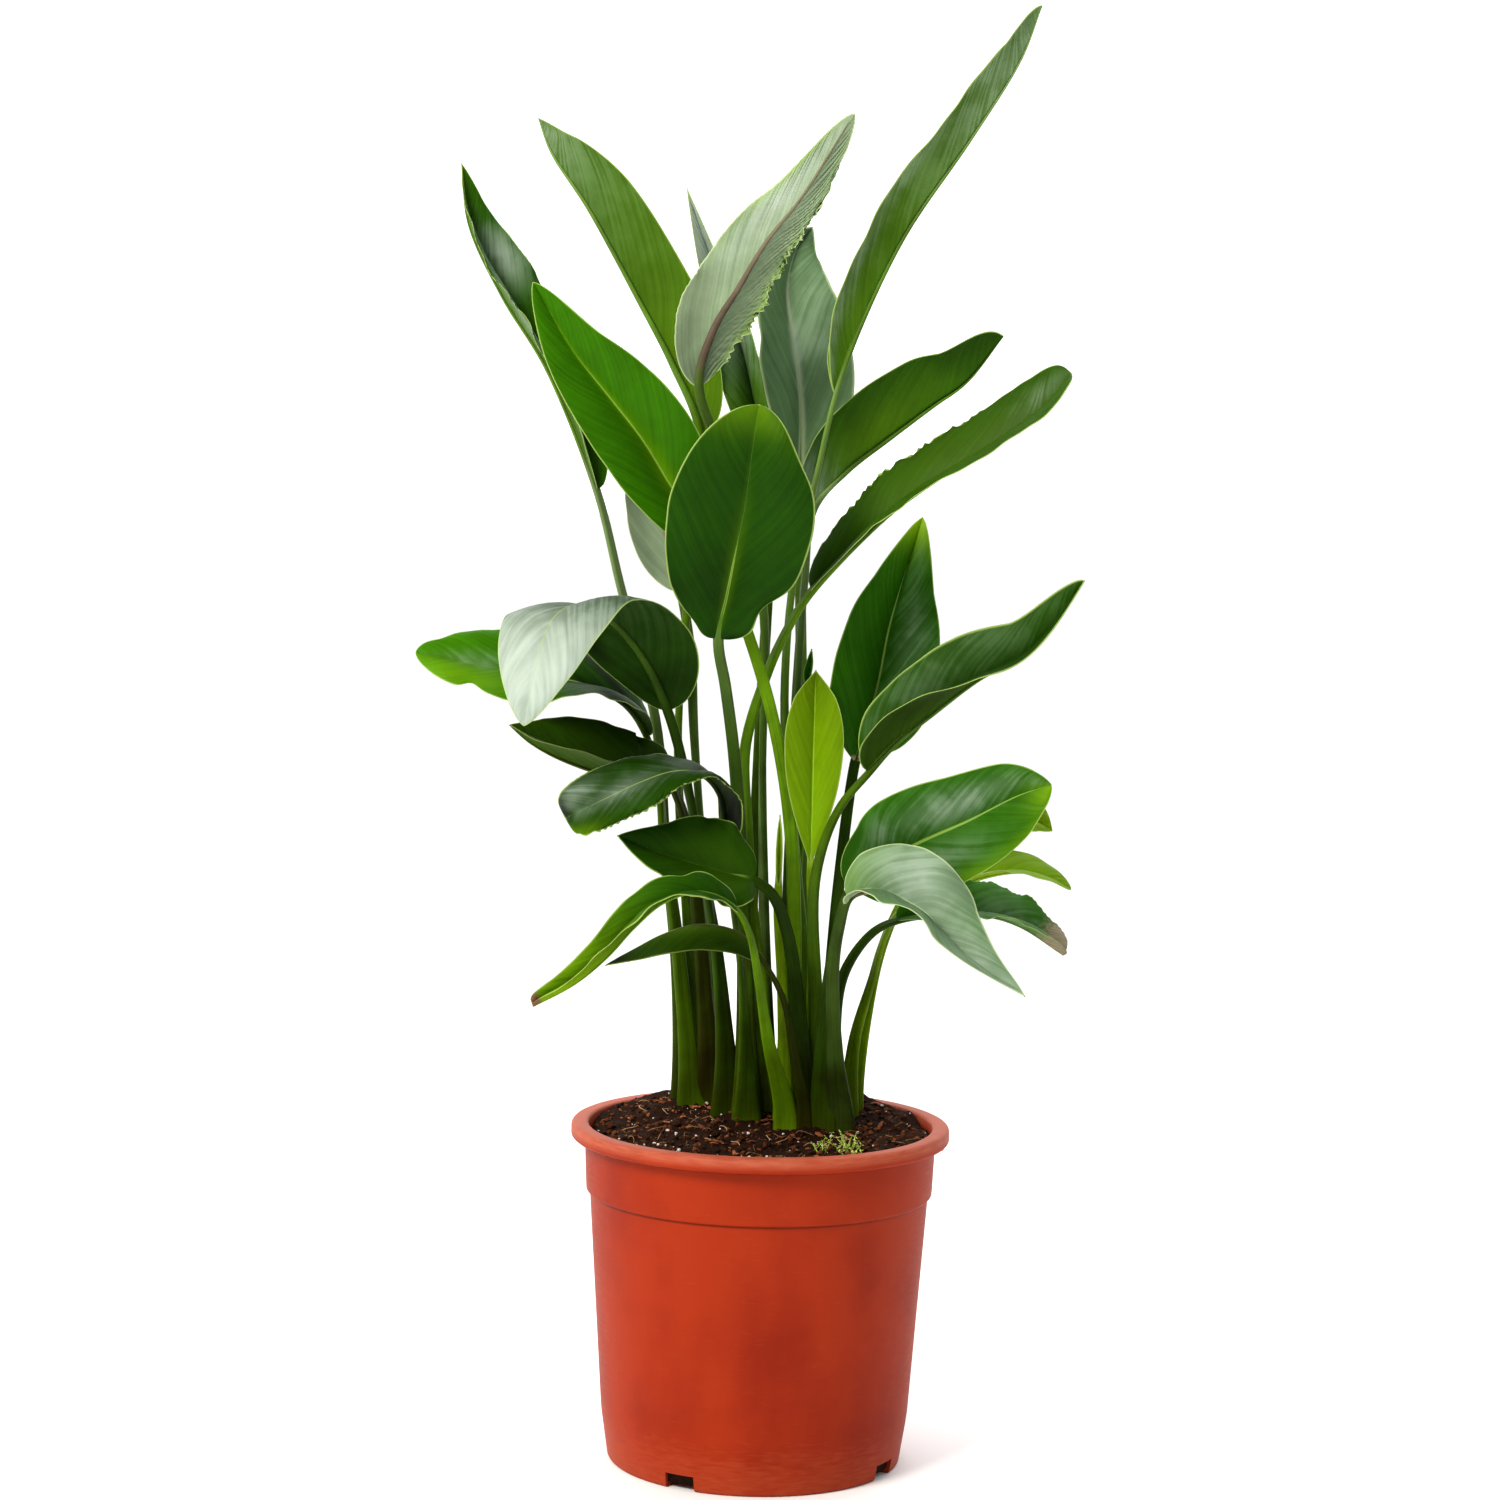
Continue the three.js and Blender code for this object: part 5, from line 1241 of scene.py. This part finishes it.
@dataclass(frozen=True)
class Pot:
    """The nursery pot: a rolled rim lip, a collar, a step, a tapered body and slots at the foot.

    out_of_round is how far the wall leaves a true circle, twice and five times round. Within
    true_radius it doesn't.
    """

    rim_radius: float = 120.0
    rim_top: float = 216.0
    lip_height: float = 9.5
    collar_top: float = 111.3
    collar_foot: float = 109.8
    collar_z: float = 173.0
    step: float = 1.8
    body_top: float = 107.4
    ring_radius: float = 98.0
    ring_z: float = 31.0
    foot_radius: float = 93.3
    wall: float = 2.4
    floor: float = 3.0
    sides: int = 216
    slot_size: tuple[float, float, float] = (22.0, 20.0, 20.0)
    first_slot: float = -119.0
    slots: int = 4
    burrs: int = 26
    span_mm: float = 9.0
    sharp_degrees: float = 40.0
    out_of_round: tuple[float, float] = (0.45, 0.2)
    true_radius: float = 80.0

    def corners(self) -> list[tuple[float, float, float]]:
        """The profile's corners as radius, height and rounding, from the foot's centre to the floor's."""
        lip = self.rim_top - self.lip_height
        step_z = self.collar_z - self.step
        wall = self.wall
        return [
            (4.0, 0.0, 0.0),
            (self.foot_radius, 0.0, 2.5),
            (self.ring_radius, self.ring_z, 5.0),
            (self.body_top, step_z, 0.7),
            (self.collar_foot, self.collar_z, 0.7),
            (self.collar_top, lip, 0.9),
            (self.rim_radius, lip, 2.6),
            (self.rim_radius, self.rim_top, 3.4),
            (self.collar_top - wall, self.rim_top, 2.6),
            (self.collar_foot - wall, self.collar_z, 2.0),
            (self.body_top - wall, step_z, 2.0),
            (self.ring_radius - wall, self.ring_z, 5.0),
            (self.foot_radius - wall, self.floor, 1.5),
            (4.0, self.floor, 0.0),
        ]

    def profile(self) -> np.ndarray:
        """The profile's points, with each corner rounded and each long span divided."""
        corners = np.array(self.corners())
        made = [corners[0, :2]]
        for before, here, after in zip(corners, corners[1:], corners[2:]):
            into, out = before[:2] - here[:2], after[:2] - here[:2]
            start = here[:2] + into / np.linalg.norm(into) * here[2]
            end = here[:2] + out / np.linalg.norm(out) * here[2]
            share = np.linspace(0, 1, 6)[:, None]
            made.extend((1 - share) ** 2 * start + 2 * share * (1 - share) * here[:2] + share**2 * end)
        made.append(corners[-1, :2])
        whole = [made[0]]
        for point in made[1:]:
            start, gap = whole[-1], point - whole[-1]
            count = max(1, math.ceil(np.linalg.norm(gap) / self.span_mm))
            whole.extend([start + gap * k / count for k in range(1, count + 1)])
        return np.array(whole)

    def shell(self) -> bpy.types.Mesh:
        """Turns the profile round the axis, a little out of round, with moulding burrs below the lip."""
        profile = self.profile()
        angle = np.linspace(0, 2 * math.pi, self.sides, endpoint=False)[None, :]
        radius = profile[:, :1] + 0 * angle
        height = profile[:, 1:] + 0 * angle
        free = smoothstep(20, 200, height) * (radius > self.true_radius)
        oval, lobed = self.out_of_round
        radius = radius + free * (oval * np.sin(2 * angle + 0.6) + lobed * np.sin(5 * angle))
        rng = random.Random(SEED)
        lip = self.rim_top - self.lip_height
        under_lip = np.exp(-(((height - lip) / 0.8) ** 2)) * (radius > self.collar_top + 3)
        for _ in range(self.burrs):
            at, width, drop = rng.uniform(-math.pi, math.pi), rng.uniform(0.8, 2.2), rng.uniform(0.4, 1.3)
            off = (angle - at + math.pi) % (2 * math.pi) - math.pi
            height = height - drop * under_lip * np.exp(-((off * self.rim_radius / width) ** 2))
        points = np.stack([radius * np.cos(angle), radius * np.sin(angle), height], axis=-1)
        faces = tube_faces(len(profile), self.sides)
        mesh = bpy.data.meshes.new("pot_shell")
        mesh.from_pydata((points.reshape(-1, 3) * MM).tolist(), [], faces)
        return mesh

    def cut(self, mesh: bpy.types.Mesh) -> bpy.types.Mesh:
        """Cuts the drainage slots out of the foot.

        Args:
            mesh: The pot without slots.

        Returns:
            The cut mesh.
        """
        whole = add_object("pot_whole", mesh)
        cutters = []
        for k in range(self.slots):
            turn = math.radians(self.first_slot + k * 360 / self.slots)
            block = bpy.data.meshes.new("slot")
            corners = [(x, y, z) for x in (-0.5, 0.5) for y in (-0.5, 0.5) for z in (-0.5, 0.5)]
            sides = [(0, 1, 3, 2), (4, 6, 7, 5), (0, 4, 5, 1), (2, 3, 7, 6), (0, 2, 6, 4), (1, 5, 7, 3)]
            block.from_pydata(corners, [], sides)
            size = Matrix.Diagonal((*[value * MM for value in self.slot_size], 1.0))
            out = Matrix.Translation((self.foot_radius * MM, 0, 0))
            block.transform(Matrix.Rotation(turn, 4, "Z") @ out @ size)
            cutter = add_object("slot", block)
            step = whole.modifiers.new("slot", "BOOLEAN")
            step.operation = "DIFFERENCE"
            step.solver = "EXACT"
            step.object = cutter
            cutters.append(cutter)
        bpy.context.view_layer.update()
        done = bpy.data.meshes.new_from_object(whole.evaluated_get(bpy.context.evaluated_depsgraph_get()))
        for used in [whole, *cutters]:
            bpy.data.objects.remove(used)
        return done

    def build(self) -> bpy.types.Object:
        """Makes the pot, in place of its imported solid."""
        mesh = self.cut(self.shell())
        mesh.shade_smooth()
        mesh.set_sharp_from_angle(angle=math.radians(self.sharp_degrees))
        mesh.materials.clear()
        mesh.materials.append(MouldedPolypropylene().build())
        piece = add_object("pot_moulded", mesh)
        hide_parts("pot")
        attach(piece, BODY)
        return piece


@dataclass(frozen=True)
class Litter:
    """Peat, bark, perlite or fibre: broken matter whose colour changes from piece to piece."""

    name: str
    darkest: str
    lightest: str
    roughness: float
    grain_mm: float

    def build(self) -> bpy.types.Material:
        """Makes the material. Each loose piece takes its own shade between the two colours."""
        material, tree = new_material(self.name)
        own = add_node(tree, "NewGeometry").outputs["Random Per Island"]
        place = add_node(tree, "TexCoord").outputs["Object"]
        grain = {"Vector": place, "Scale": 1 / (self.grain_mm * MM), "Detail": 4.0}
        grain = add_node(tree, "TexNoise", grain)
        share = add_node(tree, "Math", {0: grain, 1: 0.9, 2: -0.45}, operation="MULTIPLY_ADD")
        share = add_node(tree, "Math", {0: share, 1: own}, operation="ADD", use_clamp=True)
        mixed = {0: share, 6: linear(self.darkest), 7: linear(self.lightest)}
        colour = add_node(tree, "Mix", mixed, data_type="RGBA")
        bump = add_node(tree, "Bump", {"Strength": 0.8, "Distance": 0.5 * MM, "Height": grain})
        surface = {"Base Color": colour, "Roughness": self.roughness, "Normal": bump}
        surface["Specular IOR Level"] = 0.15
        shader = add_node(tree, "BsdfPrincipled", surface)
        add_node(tree, "OutputMaterial", {"Surface": shader})
        return material


PEAT = Litter("moist_sphagnum_peat", "#0e0704", "#452716", 0.95, 2.2)
CRUMB = Litter("peat_crumbs", "#1a0c06", "#7a4a2a", 0.95, 1.5)
BARK = Litter("composted_pine_bark", "#3a1c12", "#a86a48", 0.85, 1.2)
PERLITE = Litter("expanded_perlite", "#c4bdb2", "#f1eee8", 0.9, 0.8)
FIBRE = Litter("coir_fibres", "#7c5a3c", "#c9a982", 0.8, 1.0)
SPRIG = Litter("weed_seedling", "#7fa020", "#dbe68a", 0.5, 2.0)
ROOT = Litter("fleshy_root", "#a8875a", "#d2b68a", 0.6, 3.0)


@dataclass(frozen=True)
class Bed:
    """The potting mix: a rough peat surface, with crumbs, bark, perlite, fibres and a seedling on it.

    lump, rough and clod are the heights of three sizes of unevenness, from the widest to the smallest.
    """

    top: float = 206.5
    slope: float = 0.045
    back_slope: float = 0.085
    mound: float = 3.0
    mound_at: tuple[float, float] = (5.0, 35.0)
    mound_reach: float = 62.0
    lump: float = 1.1
    rough: float = 1.3
    rough_gap: float = 13.0
    clod: float = 2.4
    clod_gap: float = 5.0
    edge: float = 108.3
    lower_radii: tuple[float, ...] = (106.8, 104.3, 95.0, 91.0)
    lower_levels: tuple[float, ...] = (173.3, 170.9, 31.0, 3.3)
    rings: int = 74
    sides: int = 230
    crumbs: int = 1500
    chips: int = 330
    grains: int = 150
    fibres: int = 80
    fibre_reach: float = 15.0
    fibre_thick: float = 0.26
    fibre_steps: int = 7
    clods: int = 130
    tilt: float = 0.35
    sprigs: int = 20
    sprig_at: tuple[float, float] = (50.0, -42.0)

    def height(self, x: float, y: float) -> float:
        """The surface's height: the packed soil's swell with peat lumps on it.

        Args:
            x: A place to the right of the axis.
            y: A place behind the axis.

        Returns:
            The height there.
        """
        reach = math.hypot(x - self.mound_at[0], y - self.mound_at[1]) / self.mound_reach
        swell = math.sin(x * 0.19 + 1.3) * math.sin(y * 0.16) + math.sin(x * 0.07 - y * 0.11)
        slope = self.slope * y + self.back_slope * max(0.0, y)
        base = self.top + slope + self.mound * math.exp(-reach * reach) + self.lump * swell
        rough = noise.fractal(Vector((x / self.rough_gap, y / self.rough_gap, 2.0)), 0.9, 2.1, 4)
        clod = max(0.0, noise.noise(Vector((x / self.clod_gap, y / self.clod_gap, 7.0)))) ** 1.2
        return base + self.rough * rough + self.clod * clod

    def surface(self) -> bpy.types.Object:
        """The peat itself, closed below, in place of the packed soil."""
        angle = np.linspace(0, 2 * math.pi, self.sides, endpoint=False)
        rows = []
        for k in range(1, self.rings + 1):
            radius = self.edge * (k / self.rings) ** 0.8
            ring = [(radius * math.cos(a), radius * math.sin(a)) for a in angle]
            rows.extend((x, y, self.height(x, y)) for x, y in ring)
        for radius, level in zip(self.lower_radii, self.lower_levels):
            rows.extend((radius * math.cos(a), radius * math.sin(a), level) for a in angle)
        bed = Heap()
        bed.add(rows, tube_faces(self.rings + len(self.lower_levels), self.sides, flipped=True))
        return self.piece("peat_bed", bed, PEAT, smooth=True)

    def piece(self, name: str, heap: Heap, finish: Litter, smooth: bool = False) -> bpy.types.Object:
        """Makes one object of a heap, which rides on the pot's body.

        Args:
            name: The object's name.
            heap: Its points and faces.
            finish: What it is made of.
            smooth: Whether its shading is smooth.

        Returns:
            The object.
        """
        mesh = bpy.data.meshes.new(name)
        mesh.from_pydata((np.array(heap.points) * MM).tolist(), [], heap.faces)
        if smooth:
            mesh.shade_smooth()
        mesh.materials.append(finish.build())
        made = add_object(name, mesh)
        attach(made, BODY)
        return made

    def spot(self, rng: random.Random, inset: float) -> tuple[float, float]:
        """A random place on the bed.

        Args:
            rng: The source of random draws.
            inset: The least distance from the edge.

        Returns:
            The place, right and back.
        """
        radius = (self.edge - inset) * math.sqrt(rng.random())
        angle = rng.uniform(0, 2 * math.pi)
        return radius * math.cos(angle), radius * math.sin(angle)

    def scatter(
        self, name: str, count: int, low: Vector, high: Vector, finish: Litter, seed: int
    ) -> bpy.types.Object:
        """Scatters broken lumps on the bed.

        Args:
            name: The object's name.
            count: How many lumps.
            low: The smallest half sizes, in millimetres.
            high: The largest half sizes.
            finish: What they are made of.
            seed: The seed of the random draws.

        Returns:
            The lumps, as one object.
        """
        rng = random.Random(seed)
        ball, ball_faces = ball_mesh()
        heap = Heap()
        for _ in range(count):
            x, y = self.spot(rng, 2.0)
            share = rng.random() ** 2
            half = [a + (b - a) * share for a, b in zip(low, high)]
            turn = Matrix.Rotation(rng.uniform(0, 2 * math.pi), 3, "Z")
            tilt = Matrix.Rotation(rng.gauss(0, self.tilt), 3, "X")
            tilt = tilt @ Matrix.Rotation(rng.gauss(0, self.tilt), 3, "Y")
            sunk = self.height(x, y) + half[2] * rng.uniform(0.0, 0.6)
            lump = []
            for point in ball:
                worn = rng.uniform(0.72, 1.15)
                spot = turn @ tilt @ Vector([point[i] * half[i] * worn for i in range(3)])
                lump.append(Vector((x, y, sunk)) + spot)
            heap.add(lump, ball_faces)
        return self.piece(name, heap, finish)

    def strands(self) -> bpy.types.Object:
        """Lays thin curved fibres on the bed, as one object."""
        rng = random.Random(SEED + 4)
        heap = Heap()
        for _ in range(self.fibres):
            x, y = self.spot(rng, 12.0)
            heading = rng.uniform(0, 2 * math.pi)
            bend = rng.gauss(0, 0.25)
            step = self.fibre_reach * rng.uniform(0.3, 1.0) / self.fibre_steps
            path = []
            lift = rng.uniform(0.2, 2.2)
            for k in range(self.fibre_steps + 1):
                arch = lift * math.sin(k / self.fibre_steps * math.pi)
                path.append(Vector((x, y, self.height(x, y) + 0.3 + arch)))
                heading += bend + rng.gauss(0, 0.12)
                x += math.cos(heading) * step
                y += math.sin(heading) * step
                if math.hypot(x, y) > self.edge - 2:
                    break
            if len(path) > 2:
                heap.add_tube(path, [self.fibre_thick * rng.uniform(0.6, 1.2)] * len(path))
        return self.piece("coir_fibres", heap, FIBRE, smooth=True)

    def sprig(self) -> bpy.types.Object:
        """The tiny seedling at the front right, with pairs of round leaves."""
        rng = random.Random(SEED + 5)
        heap = Heap()
        ball, ball_faces = ball_mesh()
        for _ in range(self.sprigs):
            east = self.sprig_at[0] + rng.gauss(0, 8)
            north = self.sprig_at[1] + rng.gauss(0, 5)
            tall = rng.uniform(3, 14)
            lean = Vector((rng.gauss(0, 0.6), rng.gauss(0, 0.5), 1)).normalized()
            base = Vector((east, north, self.height(east, north)))
            path = [base + lean * tall * k / 4 + Vector((0.6 * math.sin(k), 0, 0)) for k in range(5)]
            heap.add_tube(path, [0.35, 0.32, 0.3, 0.26, 0.2])
            for k in range(1, 5):
                for sign in (-1, 1):
                    turn = Matrix.Rotation(rng.uniform(0, math.pi), 3, "Z")
                    turn = turn @ Matrix.Rotation(rng.gauss(0, 0.7), 3, "Y")
                    leaf = [Vector((sign * (1.1 + x), y * 0.6, z * 0.25 + 0.3)) for x, y, z in ball]
                    heap.add([path[k] + turn @ point for point in leaf], ball_faces)
        return self.piece("weed_seedling", heap, SPRIG, smooth=True)

    def build(self) -> list[bpy.types.Object]:
        """Makes the bed and everything that lies on it."""
        bed = self.surface()
        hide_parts("soil")
        lumps = (
            ("peat_crumbs", self.crumbs, (0.7, 0.6, 0.5), (2.6, 2.1, 1.6), CRUMB, SEED + 1),
            ("bark_chips", self.chips, (1.2, 0.8, 0.4), (5.6, 2.6, 1.1), BARK, SEED + 2),
            ("perlite_grains", self.grains, (0.5, 0.5, 0.5), (1.5, 1.4, 1.3), PERLITE, SEED + 3),
            ("peat_clods", self.clods, (1.6, 1.4, 1.0), (4.6, 3.8, 2.8), PEAT, SEED + 6),
        )
        loose = [
            self.scatter(name, count, Vector(low), Vector(high), finish, seed)
            for name, count, low, high, finish, seed in lumps
        ]
        return [bed, *loose, self.strands(), self.sprig()]


def ball_mesh() -> tuple[list[tuple[float, float, float]], list[tuple[int, ...]]]:
    """The points and faces of a coarse unit ball made of triangles."""
    made = bmesh.new()
    bmesh.ops.create_icosphere(made, subdivisions=1, radius=1.0)
    points = [tuple(v.co) for v in made.verts]
    faces = [tuple(v.index for v in f.verts) for f in made.faces]
    made.free()
    return points, faces


@dataclass(frozen=True)
class Studio:
    """A plain pale floor, soft light and the camera that looks as the photograph does.

    The camera's place and aim are millimetres. sees_to, lit_at and the floor's radius are metres.
    """

    camera_at: tuple[float, float, float] = (-12.0, -2200.0, 643.5)
    looks_at: tuple[float, float, float] = (-12.0, 0.0, 453.4)
    roll_degrees: float = 1.29
    lens_mm: float = 84.04
    sensor_mm: float = 36.0
    sees_to: float = 200.0
    lit_at: tuple[float, float, float] = (0.0, 0.0, 0.45)
    floor_radius: float = 30.0
    floor_sides: int = 96
    floor_colour: str = "#f8f8f7"
    floor_roughness: float = 0.9
    sky_colour: str = "#ffffff"
    sky_strength: float = 1.3
    front_left: float = 0.7
    front_right: float = 0.3
    front_span: float = 0.9
    behind_span: tuple[float, float] = (0.2, 0.75)
    over_share: float = 0.6

    def camera(self) -> None:
        """Sets the camera."""
        data = bpy.data.cameras.new("view")
        data.lens = self.lens_mm
        data.sensor_fit = "HORIZONTAL"
        data.sensor_width = self.sensor_mm
        data.clip_end = self.sees_to
        item = add_object("view", data)
        place = Vector(self.camera_at) * MM
        look = Vector(self.looks_at) * MM - place
        roll = Matrix.Rotation(math.radians(self.roll_degrees), 4, "Z")
        aim = look.to_track_quat("-Z", "Y").to_matrix().to_4x4()
        item.matrix_world = Matrix.Translation(place) @ aim @ roll
        bpy.context.scene.camera = item

    def lamp(
        self, name: str, place: tuple[float, float, float], size: float, power: float, tint: str
    ) -> None:
        """Hangs a square soft light that faces the plant.

        Args:
            name: The light's name.
            place: Where it hangs, in metres.
            size: Its width, in metres.
            power: Its power, in watts.
            tint: Its colour.
        """
        data = bpy.data.lights.new(name, "AREA")
        data.size = size
        data.energy = power
        data.color = linear(tint)[:3]
        item = add_object(name, data)
        aim = Vector(self.lit_at) - Vector(place)
        item.matrix_world = Matrix.Translation(place) @ aim.to_track_quat("-Z", "Y").to_matrix().to_4x4()

    def ground(self) -> bpy.types.Object:
        """The floor, a wide pale disc."""
        material, tree = new_material("pale_matt_floor")
        surface = {"Base Color": linear(self.floor_colour), "Roughness": self.floor_roughness}
        shader = add_node(tree, "BsdfPrincipled", surface)
        add_node(tree, "OutputMaterial", {"Surface": shader})
        angles = [k / self.floor_sides * 2 * math.pi for k in range(self.floor_sides)]
        rim = [(math.cos(a) * self.floor_radius, math.sin(a) * self.floor_radius, 0) for a in angles]
        mesh = bpy.data.meshes.new("floor")
        mesh.from_pydata(rim, [], [tuple(range(self.floor_sides))])
        mesh.materials.append(material)
        floor = add_object("floor", mesh)
        return floor

    def sky(self) -> None:
        """A pale light tent: bright behind the plant and over it, and dimmer in front towards the right."""
        world = bpy.data.worlds.new("studio")
        world.use_nodes = True
        tree = world.node_tree
        tree.nodes.clear()
        way = add_node(tree, "TexCoord").outputs["Generated"]
        right, back, up = add_node(tree, "SeparateXYZ", {0: way}).outputs
        sides = {0: right, 1: -self.front_span, 2: self.front_span, 3: self.front_left, 4: self.front_right}
        front = add_node(tree, "MapRange", sides)
        lifted = add_node(tree, "Math", {0: up, 1: self.over_share, 2: back}, operation="MULTIPLY_ADD")
        near, far = self.behind_span
        behind = {0: lifted, 1: near, 2: far}
        behind = add_node(tree, "MapRange", behind, interpolation_type="SMOOTHSTEP")
        power = add_node(tree, "Mix", {0: behind, 2: front, 3: self.sky_strength}, data_type="FLOAT")
        glow = add_node(tree, "Background", {0: linear(self.sky_colour), 1: power})
        add_node(tree, "OutputWorld", {0: glow})
        bpy.context.scene.world = world

    def build(self) -> None:
        """Makes the camera, the floor and the lights."""
        self.camera()
        self.ground()
        self.sky()
        self.lamp("key_left", (-1.5, -1.7, 2.0), 1.0, 62.0, "#fffaf2")
        self.lamp("fill_right", (1.9, -1.6, 0.9), 1.4, 3.0, "#f4f8ff")
        self.lamp("top_back", (0.4, 1.3, 2.1), 1.4, 14.0, "#f6faff")
        bpy.context.scene.view_settings.view_transform = "Standard"
        bpy.context.scene.view_settings.look = "Medium High Contrast"


def main() -> None:
    """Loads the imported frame, dresses it and sets the stage."""
    logging.basicConfig(level=logging.INFO, format="%(message)s")
    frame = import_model()
    Studio().build()
    made = [Pot().build(), *Bed().build(), *Clump().build()]
    crown = frame["nodes"]["crown_and_roots"]
    crown.data.materials.clear()
    crown.data.materials.append(ROOT.build())
    for piece in made:
        LOG.info("%s: %d faces", piece.name, len(piece.data.polygons))


if __name__ == "__main__":
    main()
